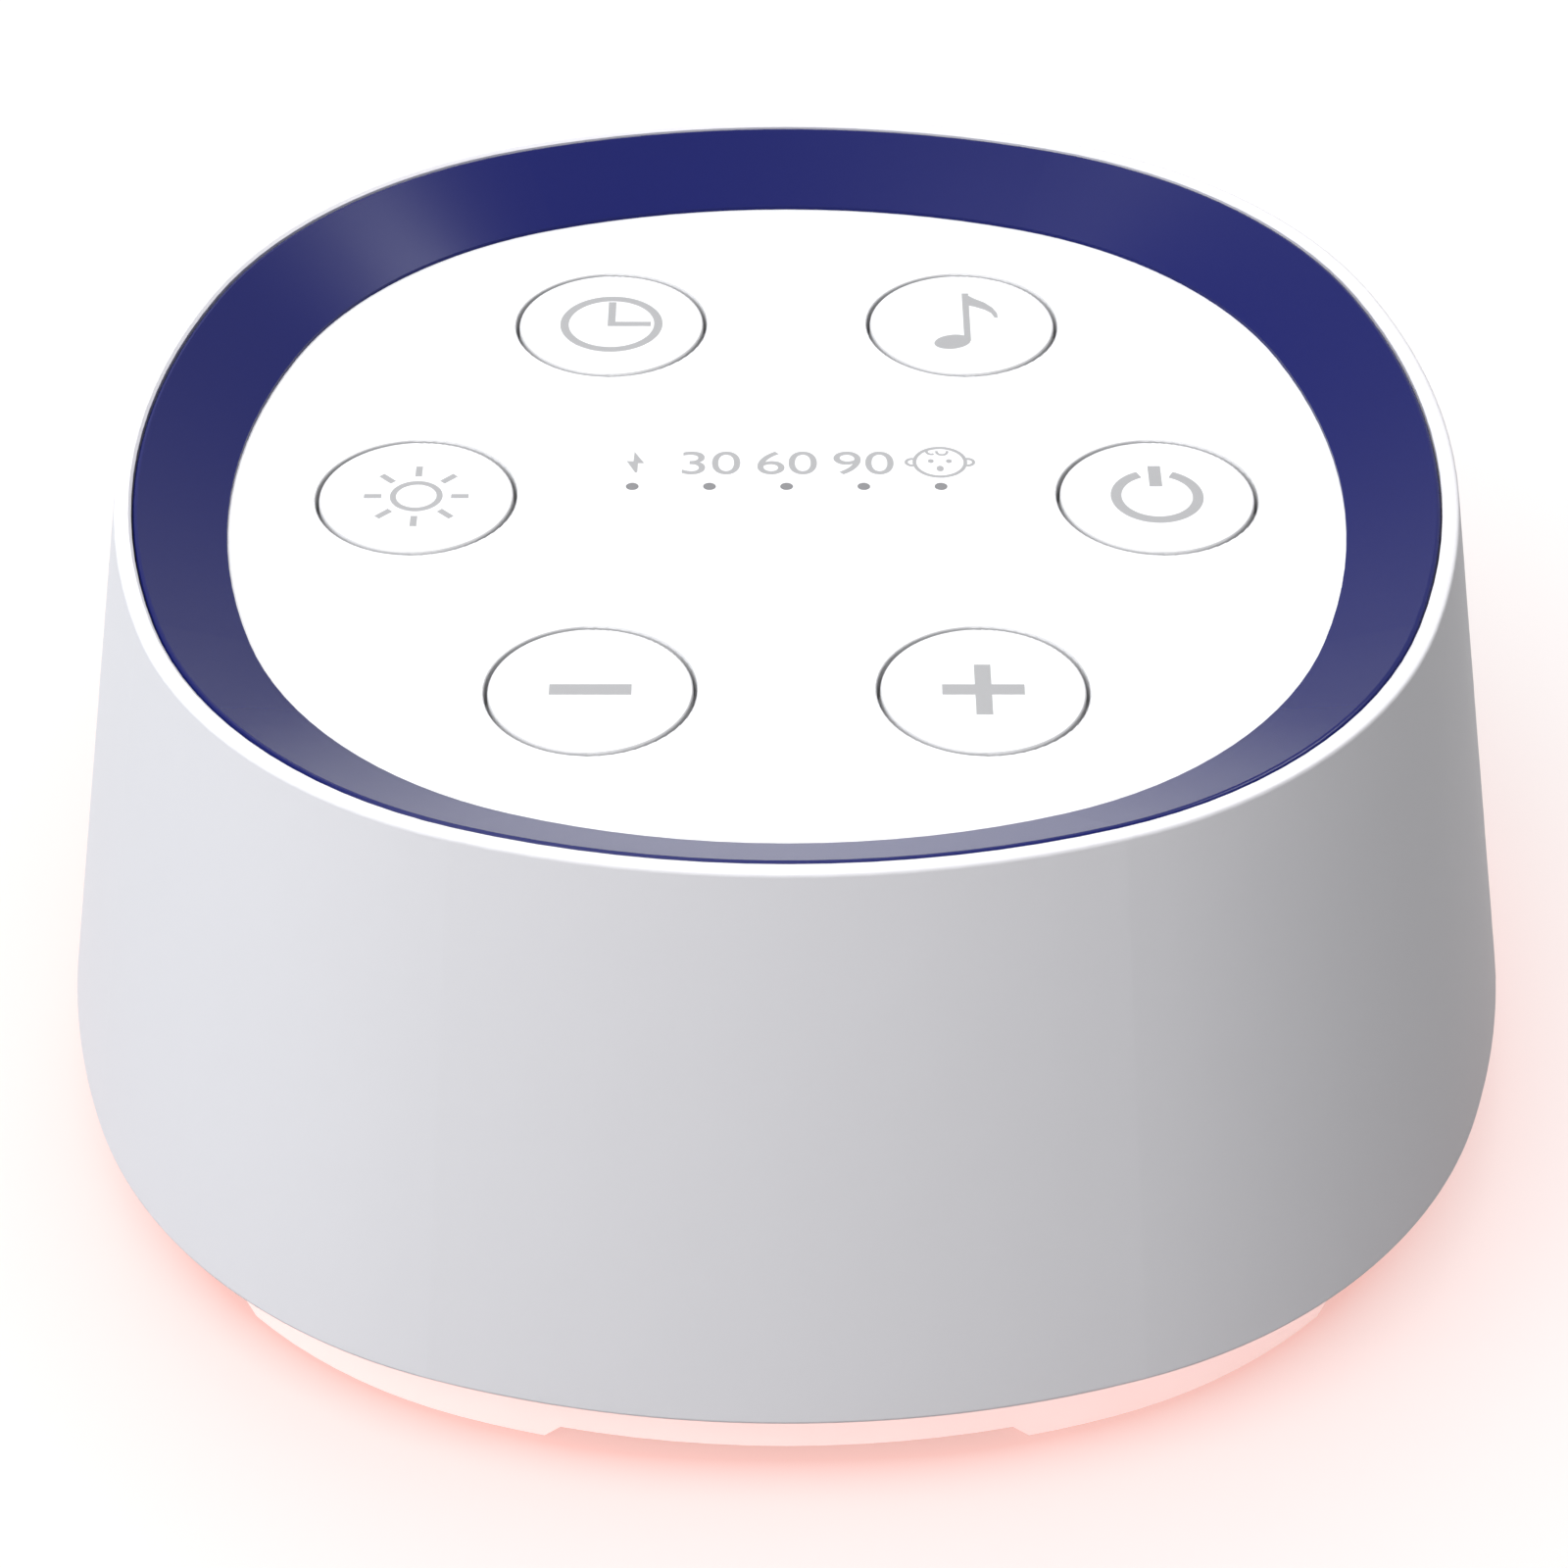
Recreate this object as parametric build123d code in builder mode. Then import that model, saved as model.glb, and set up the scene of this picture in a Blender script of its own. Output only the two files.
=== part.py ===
from build123d import *

import os
from math import atan2, cos, degrees, radians, sin, sqrt, tan

os.makedirs("parts", exist_ok=True)

# White noise sound machine, in millimetres, +Z up. The origin is on the table under the
# middle of the machine. The power side of the keypad faces -Y, the charging socket +Y.

# ---------------------------------------------------------------- driving dimensions
# Plan outline of every shell part: a square with bowed sides and very round corners
side_bow = 1.37  # radius of a side arc for each unit of half width
corner_bow = 0.766  # radius of a corner arc for each unit of half width

# Body shell
body_half_width = 56.3  # at the bottom edge
wall_draft = 7.05  # inwards from the bottom edge to the top of the rim
body_bottom = 7.8
rim_top = 52.1
shell_wall = 2.4
rim_width = 1.2
rim_round = 0.35
rim_inner_bevel = 0.2
body_edge_round = 0.3

# Control panel and the dished trim ring around it
panel_drop = 4.1  # from the rim down to the panel's face
panel_overlap = 2.6  # of the panel under the trim ring
panel_thickness = 2.0
trim_width = 6.55  # from the ring's outside to its window
trim_gap = 0.1
trim_edge_drop = 0.2
trim_edge_width = 0.35
trim_round = 0.3
trim_lip = 0.3
trim_skirt = 1.5
ledge_overlap = 2.0  # of the ledge under the panel
ledge_thickness = 2.0
trim_post_inset = 2.85  # from the rim's inner face to a post's axis
trim_post_radius = 2.5

# Push keys
key_circle = 27.6
key_radius = 7.25
key_gap = 0.25
key_top_thickness = 1.5
key_wall = 1.0
key_depth = 3.4
key_flange = 0.95
key_flange_thickness = 0.8
key_flange_gap = 0.1
key_stem_radius = 2.2
key_stem_reach = 0.2  # of the stem past the cap's skirt
key_edge_round = 0.2
key_hole_round = 0.15
key_travel = 0.5
key_angles = {
    "light_key": 180,
    "timer_key": 120,
    "sound_key": 60,
    "power_key": 0,
    "volume_up_key": 300,
    "volume_down_key": 240,
}

# Switches and the board under the panel
switch_width = 6.2
switch_height = 3.5
plunger_radius = 1.75
plunger_rise = 1.5
plunger_depth = 0.9
plunger_gap = 0.1
board_thickness = 1.6
control_board_radius = 37.0
panel_boss_x = 27.7
panel_boss_y = 16.0
panel_boss_radius = 2.6

# Indicator dots
dot_count = 5
dot_pitch = 5.77
dot_y = 1.3
dot_radius = 0.45
dot_gap = 0.03
guide_bar_width = 2.4
guide_bar_thickness = 1.5
guide_leg_radius = 1.0
dot_led_width = 1.6
dot_led_depth = 0.8
dot_led_height = 0.8
dot_led_gap = 0.1

# Glow ring under the body
ring_inset = 4.0  # from the body's bottom edge
ring_wall = 2.0
ring_low_edge = 0.3
notch_depth = 1.2
front_notch_half_width = 17.5
side_notch_inset = 14.2  # from the ring's half width to the notch's end
lip_wall = 1.55  # of the shell outside the flange
flange_reach = 2.5  # inwards from the ring's wall
flange_thickness = 1.6
flange_rise = 0.8  # from the body's bottom edge up to the flange
seat_width = 1.5
seat_thickness = 1.0
fit_gap = 0.15

# Base plate, its posts and its feet
plate_bottom = 2.0
plate_thickness = 2.0
glow_gap = 4.3  # from the ring's wall to the rib that carries the light strip
strip_rib_wall = 1.4
strip_rib_height = 4.3
corner_inset = 5.0  # from the rib's half width to the circle of the corner posts
corner_post_radius = 4.2
corner_boss_radius = 3.6
corner_boss_height = 15.8
gusset_thickness = 2.0
grille_rings = 4
grille_pitch = 4.4
grille_hole_radius = 1.4
foot_radius = 6.0
foot_recess = 0.8

# Light strip behind the glow ring
strip_thickness = 0.4
strip_inset = 0.3
strip_end_gap = 3.0
strip_led_count = 20
strip_led_width = 3.0
strip_led_depth = 0.8
strip_led_height = 2.0

# Screws: body radius, head radius, head height
base_screw = (1.5, 2.8, 2.2)
base_screw_length = 13.0
base_screw_seat = 3.2  # of plastic over the head
small_screw = (1.1, 2.1, 1.5)
trim_screw_length = 4.8
panel_screw_length = 6.0
speaker_screw_length = 3.6
main_screw_length = 6.0
battery_screw_length = 5.0
thread_gap = 0.02
shank_gap = 0.15
drive_share = 0.55  # of the head's size, taken by the hexagon drive

# Loudspeaker, facing down through the base plate
speaker_half_width = 25.5
speaker_corner_radius = 6.0
speaker_screw_inset = 4.2  # from the flange's side
speaker_rim_gap = 0.3  # from the flange's side to the gasket
speaker_post_radius = 2.8
mesh_thickness = 0.25
gasket_thickness = 2.0
gasket_width = 3.4
sheet = 0.8  # pressed steel of the basket
spider_seat_radius = 16.9
spider_seat_width = 2.5
spider_seat_height = 7.55  # over the basket's front face
basket_depth = 11.95  # from its front face to the top plate
basket_hole_gap = 1.7  # round the coil's gap
window_width = 14.0
window_height = 5.2
window_start = 1.65
surround_thickness = 0.3
surround_flat = 1.2
roll_width = 3.2
cone_neck_height = 4.65
cone_thickness = 0.4
cap_radius = 8.8
cap_rise = 1.8
cap_thickness = 0.3
spider_thickness = 0.4
spider_wave = 0.25
spider_waves = 4
former_radius = 7.15
former_wall = 0.2
former_reach = 3.0  # of the former past the top plate's front face
winding_thickness = 0.45
winding_height = 3.2
coil_gap = 0.3
top_plate_radius = 15.0
top_plate_thickness = 3.0
magnet_rim = 1.0  # of the magnet past the plates
magnet_bore_gap = 1.6  # round the coil's gap
magnet_thickness = 6.0
yoke_thickness = 3.0
tag_length = 8.0
tag_width = 3.6
tag_thickness = 1.0
tag_x = -12.0
tag_inset = 2.1  # of its middle from the flange's back edge
tag_pin_spread = 2.0

# Main board, over the back of the base plate
main_board_half_width = 23.0
main_board_depth = 23.5
board_wall_gap = 1.9  # from the shell's wall to the board's back edge
board_boss_gap = 1.0  # round the shell's corner bosses
main_board_lift = 0.2  # over the glow ring's flange
main_post_radius = 2.5
# Places on the board: x, then the way in from its front edge
main_post_places = [(-20.0, 7.5), (20.0, 7.5), (-11.0, 12.8), (11.0, 12.8)]
connector_row = 3.0
connector_depth = 4.2
connector_height = 4.5
strip_plug_x = -18.0
speaker_plug_x = -9.0
panel_plug_x = 2.0
battery_plug_x = 13.0
two_pin_width = 6.0
four_pin_width = 8.0
panel_plug_y = 24.0
controller_place = (2.0, 10.1)
controller_width = 7.0
small_chip_places = [(-7.5, 8.1), (11.5, 7.7)]
small_chip_width = 5.0
small_chip_depth = 4.0
chip_height = 1.2
capacitor_radius = 2.5
capacitor_height = 6.0
capacitor_places = [(-17.5, 16.0), (-11.5, 18.5), (17.5, 16.0)]
inductor_width = 5.0
inductor_height = 3.0
inductor_place = (11.2, 18.5)

# Charging socket, a USB-C receptacle
socket_width = 8.94
socket_height = 3.26
socket_corner = 1.5
socket_sheet = 0.3
socket_length = 7.35
socket_back = 2.0
tongue_width = 6.7
tongue_thickness = 0.7
tongue_length = 4.6
port_gap = 0.3
port_face_inset = 1.1  # from the shell's outside to the socket's mouth
port_recess_width = 13.0
port_recess_height = 7.4
port_recess_depth = 0.8

# Battery, a round lithium cell lying along the front
cell_radius = 7.1
cell_length = 43.0
cell_tab_thickness = 0.3
cell_tab_width = 5.0
cell_tab_rise = 1.5
holder_wall = 1.3
holder_wrap = 2.2  # height of the walls over the cell's axis
holder_floor = 2.0
holder_end_wall = 1.2
holder_gap = 1.5
holder_post_radius = 3.2
holder_post_height = 4.6
holder_screw_x = 13.0

# Leads
lead_radius = 0.6
thin_lead_radius = 0.5
lead_spread = 2.0  # between the two wires of a pair
lead_rise = 5.0  # straight up from a plug or a tab
tag_lead_rise = 9.0
speaker_lead_arch = 7.0
battery_lead_arch = 10.0
side_run_gap = 4.5  # outside the loudspeaker
side_run_spread = 3.0  # between the battery's two leads
side_run_front = 7.5  # in from the loudspeaker's front edge
side_run_back = 13.5  # in from its back edge
front_run_x = 3.0  # where the longer battery lead turns
front_run_inset = 5.0  # behind the cell's axis
strip_exit_y = 6.0  # where the light strip's wires leave it
strip_lead_rises = [(1 / 3, 9.0), (3 / 4, 12.0)]  # share of the way, rise over the strip
ribbon_pitch = 1.25
ribbon_wires = 4
bend_share = 0.45

# ---------------------------------------------------------------- sizes that follow
rim_half_width = body_half_width - wall_draft
panel_top = rim_top - panel_drop
ledge_top = panel_top - panel_thickness
rim_inner = rim_half_width - rim_width
trim_outer = rim_inner - trim_gap
trim_top = rim_top - trim_edge_drop
window_half_width = trim_outer - trim_width
panel_half_width = window_half_width + panel_overlap
ledge_half_width = panel_half_width - ledge_overlap
trim_post_circle = rim_inner - trim_post_inset
key_bottom = panel_top - key_depth
flange_bottom = body_bottom + flange_rise
flange_top = flange_bottom + flange_thickness
plate_top = plate_bottom + plate_thickness
ring_half_width = body_half_width - ring_inset
ring_inner = ring_half_width - ring_wall
side_notch_half_width = ring_half_width - side_notch_inset
flange_half_width = body_half_width - lip_wall - fit_gap
strip_rib_half_width = ring_inner - glow_gap
corner_circle = strip_rib_half_width - corner_inset
corner_reach = corner_circle / sqrt(2)
plunger_top = key_bottom - key_stem_reach
switch_top = plunger_top - plunger_rise
control_board_top = switch_top - switch_height
control_board_bottom = control_board_top - board_thickness
holder_depth = 2 * (cell_radius + holder_wall)
rib_inner = strip_rib_half_width - strip_rib_wall
speaker_screw_spot = speaker_half_width - speaker_screw_inset
mesh_radius = speaker_half_width - speaker_rim_gap
basket_opening = mesh_radius - gasket_width
cone_radius = basket_opening - roll_width
coil_radius = former_radius + winding_thickness
basket_hole = coil_radius + coil_gap + basket_hole_gap
magnet_bore = coil_radius + coil_gap + magnet_bore_gap
magnet_radius = top_plate_radius + magnet_rim
seat_inner = spider_seat_radius - spider_seat_width
tag_y = speaker_half_width - tag_inset
basket_front = plate_top + mesh_thickness + gasket_thickness + surround_thickness
top_plate_front = basket_front + basket_depth
magnet_front = top_plate_front + top_plate_thickness
yoke_front = magnet_front + magnet_thickness
main_board_bottom = flange_top + main_board_lift
main_board_top = main_board_bottom + board_thickness
main_board_back = body_half_width - shell_wall - board_wall_gap
main_board_front = main_board_back - main_board_depth
connector_y = main_board_front + connector_row
holder_bottom = plate_top + holder_post_height
cell_end = cell_length / 2
holder_end = cell_end + cell_tab_thickness + holder_end_wall
cell_height = holder_bottom + holder_floor + cell_radius
cell_y = -(speaker_half_width + holder_gap + holder_depth / 2)
socket_z = main_board_top + socket_height / 2


def wall_half_width(height):
    """Half width of the shell's drafted outside at a height."""
    draft = (body_half_width - rim_half_width) / (rim_top - body_bottom)
    return body_half_width - draft * (height - body_bottom)


class Squircle(BaseSketchObject):
    """Plan outline: four bowed sides, tangent to four round corners."""

    _applies_to = [BuildSketch._tag]

    def __init__(self, half_width, mode=Mode.ADD):
        side_radius = side_bow * half_width
        corner_radius = corner_bow * half_width
        side_centre = half_width - side_radius
        reach = side_radius - corner_radius
        corner = (side_centre + sqrt(2 * reach**2 - side_centre**2)) / 2
        turn = degrees(atan2(corner, corner - side_centre))
        with BuildSketch() as outline:
            with BuildLine():
                for quarter in range(4):
                    start = 90 * quarter
                    side = Vector(side_centre, 0).rotate(Axis.Z, start)
                    bend = Vector(corner, corner).rotate(Axis.Z, start)
                    CenterArc(side, side_radius, start - turn, 2 * turn)
                    CenterArc(bend, corner_radius, start + turn, 90 - 2 * turn)
            make_face()
        super().__init__(obj=outline.sketch, mode=mode)


def blocks(spots, width, depth, bottom, height):
    """Square-cornered blocks at the given spots."""
    with BuildPart() as group:
        with BuildSketch(Plane.XY.offset(bottom)):
            with Locations(*spots):
                Rectangle(width, depth)
        extrude(amount=height)
    return group.part


def screws(spots, seat, size, length):
    """Screws whose heads rest at the seat height; a negative length points them down."""
    shank_radius, head_radius, head_height = size
    up = 1 if length > 0 else -1
    with BuildPart() as group:
        with BuildSketch(Plane.XY.offset(seat)):
            with Locations(*spots):
                Circle(head_radius)
        extrude(amount=-up * head_height)
        with BuildSketch(Plane.XY.offset(seat)):
            with Locations(*spots):
                Circle(shank_radius)
        extrude(amount=length)
        with BuildSketch(Plane.XY.offset(seat - up * head_height)):
            with Locations(*spots):
                RegularPolygon(drive_share * head_radius, 6)
        extrude(amount=up * drive_share * head_height, mode=Mode.SUBTRACT)
    return group.part


def lead(points, radius=lead_radius):
    """Wire along straight runs that are joined by tangent arcs."""
    spots = [Vector(point) for point in points]
    runs = [after - before for before, after in zip(spots, spots[1:])]
    bends = []
    for before, after in zip(runs, runs[1:]):
        half_turn = radians(before.get_angle(after)) / 2
        bends.append(bend_share * min(before.length, after.length) / tan(half_turn))
    with BuildPart() as wire:
        with BuildLine() as route:
            FilletPolyline(*spots, radius=bends)
        with BuildSketch(Plane(origin=route.line @ 0, z_dir=route.line % 0)):
            Circle(radius)
        sweep(path=route.line)
    print("lead", round(route.wire().length, 1), "mm long, tightest bend", round(min(bends), 1))
    return wire.part


def keep(name, part):
    """Labels a finished piece and writes its STEP file."""
    part.label = name
    export_step(part, f"parts/{name}.step")


def corners(reach_x, reach_y):
    """The four corners of a rectangle about the middle."""
    return [(x, y) for x in (-reach_x, reach_x) for y in (-reach_y, reach_y)]


def on_board(place):
    """Spot of a place on the main board, measured in from the board's front edge."""
    x, way_in = place
    return (x, main_board_front + way_in)


corner_spots = corners(corner_reach, corner_reach)
trim_spots = [(trim_post_circle, 0), (0, trim_post_circle)]
trim_spots += [(-trim_post_circle, 0), (0, -trim_post_circle)]
panel_boss_spots = corners(panel_boss_x, panel_boss_y)
dot_spots = [((i - (dot_count - 1) / 2) * dot_pitch, dot_y) for i in range(dot_count)]
speaker_spots = corners(speaker_screw_spot, speaker_screw_spot)
holder_spots = [(-holder_screw_x, cell_y), (holder_screw_x, cell_y)]
main_post_spots = [on_board(place) for place in main_post_places]
key_spots = {
    name: (key_circle * cos(radians(angle)), key_circle * sin(radians(angle)))
    for name, angle in key_angles.items()
}

# ---------------------------------------------------------------- body shell
with BuildPart() as shell_hollow:
    with BuildSketch(Plane.XY.offset(flange_top)):
        Squircle(wall_half_width(flange_top) - shell_wall)
    with BuildSketch(Plane.XY.offset(ledge_top - ledge_thickness)):
        Squircle(wall_half_width(ledge_top - ledge_thickness) - shell_wall)
    loft(ruled=True)
    # The corner bosses and the gussets that tie them to the wall stay solid
    with BuildSketch(Plane.XY.offset(flange_top)):
        with Locations(*corner_spots):
            Circle(corner_boss_radius)
        with PolarLocations(body_half_width, 4, start_angle=45):
            Rectangle(2 * (body_half_width - corner_circle), gusset_thickness)
    extrude(amount=corner_boss_height, mode=Mode.SUBTRACT)

with BuildPart() as body_shell:
    with BuildSketch(Plane.XY.offset(body_bottom)):
        Squircle(body_half_width)
    with BuildSketch(Plane.XY.offset(rim_top)):
        Squircle(rim_half_width)
    loft(ruled=True)
    fillet(body_shell.edges().group_by(Axis.Z)[-1], rim_round)
    fillet(body_shell.edges().group_by(Axis.Z)[0], body_edge_round)
    add(shell_hollow.part, mode=Mode.SUBTRACT)
    # Step for the glow ring's flange, opening inside the ledge, seat for the trim ring
    with BuildSketch(Plane.XY.offset(body_bottom)):
        Squircle(flange_half_width + fit_gap)
    extrude(amount=flange_top - body_bottom, mode=Mode.SUBTRACT)
    with BuildSketch(Plane.XY.offset(ledge_top - ledge_thickness)):
        Squircle(ledge_half_width)
    extrude(amount=ledge_thickness, mode=Mode.SUBTRACT)
    with BuildSketch(Plane.XY.offset(ledge_top)):
        Squircle(rim_inner)
    extrude(amount=rim_top - ledge_top, mode=Mode.SUBTRACT)
    rim_face = body_shell.faces().sort_by(Axis.Z)[-1]
    chamfer(rim_face.inner_wires()[0].edges(), rim_inner_bevel)
    # Pilot holes for the base screws, and the holes for the trim screws
    with BuildSketch(Plane.XY.offset(flange_top)):
        with Locations(*corner_spots):
            Circle(base_screw[0] + thread_gap)
    extrude(amount=corner_boss_height - shell_wall, mode=Mode.SUBTRACT)
    with BuildSketch(Plane.XY.offset(ledge_top - ledge_thickness)):
        with Locations(*trim_spots):
            Circle(small_screw[0] + shank_gap)
    extrude(amount=ledge_thickness, mode=Mode.SUBTRACT)
    # Charging port in the back wall, with a shallow recess for the plug's grip
    with BuildSketch(Plane((0, main_board_back, socket_z), (1, 0, 0), (0, 1, 0))):
        RectangleRounded(
            socket_width + 2 * port_gap, socket_height + 2 * port_gap, socket_corner + port_gap
        )
    extrude(amount=body_half_width - main_board_back, mode=Mode.SUBTRACT)
    recess_floor = wall_half_width(socket_z) - port_recess_depth
    with BuildSketch(Plane((0, recess_floor, socket_z), (1, 0, 0), (0, 1, 0))):
        RectangleRounded(port_recess_width, port_recess_height, port_recess_height / 2 - port_gap)
    extrude(amount=body_half_width - recess_floor, mode=Mode.SUBTRACT)
keep("body_shell", body_shell.part)

# ---------------------------------------------------------------- trim ring
trim_slope = (trim_top - panel_top - trim_lip) / (trim_outer - trim_edge_width - window_half_width)
panel_pocket = panel_half_width + fit_gap
skirt_inner = trim_outer - trim_skirt
trim_hollow_rise = trim_slope * (skirt_inner - panel_pocket)

with BuildPart() as trim_hollow:
    with BuildSketch(Plane.XY.offset(ledge_top)):
        Squircle(skirt_inner)
    extrude(amount=panel_thickness + trim_hollow_rise)
    with BuildSketch(Plane.XY.offset(panel_top)):
        Squircle(panel_pocket)
    with BuildSketch(Plane.XY.offset(panel_top + trim_hollow_rise)):
        Squircle(skirt_inner)
    loft(ruled=True, mode=Mode.SUBTRACT)
    with BuildSketch(Plane.XY.offset(ledge_top)):
        with Locations(*trim_spots):
            Circle(trim_post_radius)
    extrude(amount=panel_thickness + trim_hollow_rise, mode=Mode.SUBTRACT)

with BuildPart() as trim_ring:
    with BuildSketch(Plane.XY.offset(ledge_top)):
        Squircle(trim_outer)
    extrude(amount=trim_top - ledge_top)
    with BuildSketch(Plane.XY.offset(panel_top + trim_lip)):
        Squircle(window_half_width)
    with BuildSketch(Plane.XY.offset(trim_top)):
        Squircle(trim_outer - trim_edge_width)
    loft(ruled=True, mode=Mode.SUBTRACT)
    trim_land = trim_ring.faces().sort_by(Axis.Z)[-1]
    fillet(trim_land.outer_wire().edges(), trim_round)
    with BuildSketch(Plane.XY.offset(ledge_top)):
        Squircle(window_half_width)
    extrude(amount=trim_top - ledge_top, mode=Mode.SUBTRACT)
    add(trim_hollow.part, mode=Mode.SUBTRACT)
    with BuildSketch(Plane.XY.offset(ledge_top)):
        with Locations(*trim_spots):
            Circle(small_screw[0] + thread_gap)
    extrude(amount=trim_screw_length - ledge_thickness + shank_gap, mode=Mode.SUBTRACT)
keep("trim_ring", trim_ring.part)
keep("trim_screws", screws(trim_spots, ledge_top - ledge_thickness, small_screw, trim_screw_length))

# ---------------------------------------------------------------- control panel
with BuildPart() as control_panel:
    with BuildSketch(Plane.XY.offset(ledge_top)):
        Squircle(panel_half_width)
        with Locations(*trim_spots):
            Circle(trim_post_radius + fit_gap, mode=Mode.SUBTRACT)
        with Locations(*key_spots.values()):
            Circle(key_radius + key_gap, mode=Mode.SUBTRACT)
        with Locations(*dot_spots):
            Circle(dot_radius + dot_gap, mode=Mode.SUBTRACT)
    extrude(amount=panel_thickness)
    with BuildSketch(Plane.XY.offset(control_board_top)):
        with Locations(*panel_boss_spots):
            Circle(panel_boss_radius)
            Circle(small_screw[0] + thread_gap, mode=Mode.SUBTRACT)
    extrude(amount=ledge_top - control_board_top)
    key_hole_edges = control_panel.edges().filter_by(GeomType.CIRCLE).group_by(Axis.Z)[-1]
    fillet(key_hole_edges.filter_by(lambda edge: edge.radius == key_radius + key_gap), key_hole_round)
keep("control_panel", control_panel.part)


# ---------------------------------------------------------------- push keys
def make_key(spot):
    """Round cap with a retaining flange under the panel and a stem down to its switch."""
    x, y = spot
    with BuildPart() as key:
        with BuildSketch(Plane((x, y, key_bottom))):
            Circle(key_radius)
            Circle(key_radius - key_wall, mode=Mode.SUBTRACT)
        extrude(amount=key_depth)
        with BuildSketch(Plane((x, y, panel_top))):
            Circle(key_radius)
        extrude(amount=-key_top_thickness)
        fillet(key.edges().group_by(Axis.Z)[-1], key_edge_round)
        with BuildSketch(Plane((x, y, ledge_top - key_flange_gap))):
            Circle(key_radius + key_flange)
            Circle(key_radius - key_wall, mode=Mode.SUBTRACT)
        extrude(amount=-key_flange_thickness)
        with BuildSketch(Plane((x, y, plunger_top))):
            Circle(key_stem_radius)
        extrude(amount=panel_top - key_top_thickness - plunger_top)
    return key.part


def make_plunger(spot):
    """Switch plunger, which the key's stem pushes down."""
    x, y = spot
    with BuildPart() as plunger:
        with BuildSketch(Plane((x, y, plunger_top))):
            Circle(plunger_radius)
        extrude(amount=-plunger_rise - plunger_depth)
    return plunger.part


for name, spot in key_spots.items():
    keep(name, make_key(spot))
    keep(f"{name}_plunger", make_plunger(spot))

# ---------------------------------------------------------------- board under the panel
with BuildPart() as switch_bodies:
    with BuildSketch(Plane.XY.offset(control_board_top)):
        with Locations(*key_spots.values()):
            Rectangle(switch_width, switch_width)
    extrude(amount=switch_height)
    with BuildSketch(Plane.XY.offset(switch_top)):
        with Locations(*key_spots.values()):
            Circle(plunger_radius + plunger_gap)
    extrude(amount=-plunger_depth - key_travel - plunger_gap, mode=Mode.SUBTRACT)
keep("switch_bodies", switch_bodies.part)

with BuildPart() as control_board:
    with BuildSketch(Plane.XY.offset(control_board_bottom)):
        Circle(control_board_radius)
        with Locations(*panel_boss_spots):
            Circle(small_screw[0] + shank_gap, mode=Mode.SUBTRACT)
    extrude(amount=board_thickness)
keep("control_board", control_board.part)
keep("control_board_screws", screws(panel_boss_spots, control_board_bottom, small_screw, panel_screw_length))

with BuildPart() as light_guide:
    bar_length = dot_spots[-1][0] - dot_spots[0][0] + guide_bar_width
    with BuildSketch(Plane.XY.offset(ledge_top - guide_bar_thickness)):
        with Locations((0, dot_y)):
            SlotOverall(bar_length, guide_bar_width)
    extrude(amount=guide_bar_thickness)
    with BuildSketch(Plane.XY.offset(ledge_top)):
        with Locations(*dot_spots):
            Circle(dot_radius)
    extrude(amount=panel_thickness)
    with BuildSketch(Plane.XY.offset(control_board_top + dot_led_height + dot_led_gap)):
        with Locations(*dot_spots):
            Circle(guide_leg_radius)
    extrude(until=Until.NEXT)
keep("light_guide", light_guide.part)
keep("indicator_leds", blocks(dot_spots, dot_led_width, dot_led_depth, control_board_top, dot_led_height))

# ---------------------------------------------------------------- glow ring
notch_top = ring_low_edge + notch_depth
with BuildPart() as glow_ring:
    with BuildSketch(Plane.XY.offset(ring_low_edge)):
        Squircle(ring_half_width)
        Squircle(ring_inner, mode=Mode.SUBTRACT)
    extrude(amount=flange_top - ring_low_edge)
    with BuildSketch(Plane.XY.offset(flange_bottom)):
        Squircle(flange_half_width)
        Squircle(ring_inner - flange_reach, mode=Mode.SUBTRACT)
    extrude(amount=flange_thickness)
    with BuildSketch(Plane.XY.offset(plate_top)):
        Squircle(ring_half_width)
        Squircle(ring_inner - seat_width, mode=Mode.SUBTRACT)
    extrude(amount=seat_thickness)
    # Sound notches in the lower edge, front and back, then left and right
    for plane, notch in ((Plane.XZ, front_notch_half_width), (Plane.YZ, side_notch_half_width)):
        with BuildSketch(plane):
            with BuildLine():
                Polyline(
                    (-notch - notch_depth, ring_low_edge - notch_depth),
                    (-notch + notch_depth, notch_top),
                    (notch - notch_depth, notch_top),
                    (notch + notch_depth, ring_low_edge - notch_depth),
                    close=True,
                )
            make_face()
        extrude(amount=body_half_width, both=True, mode=Mode.SUBTRACT)
keep("glow_ring", glow_ring.part)

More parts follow.
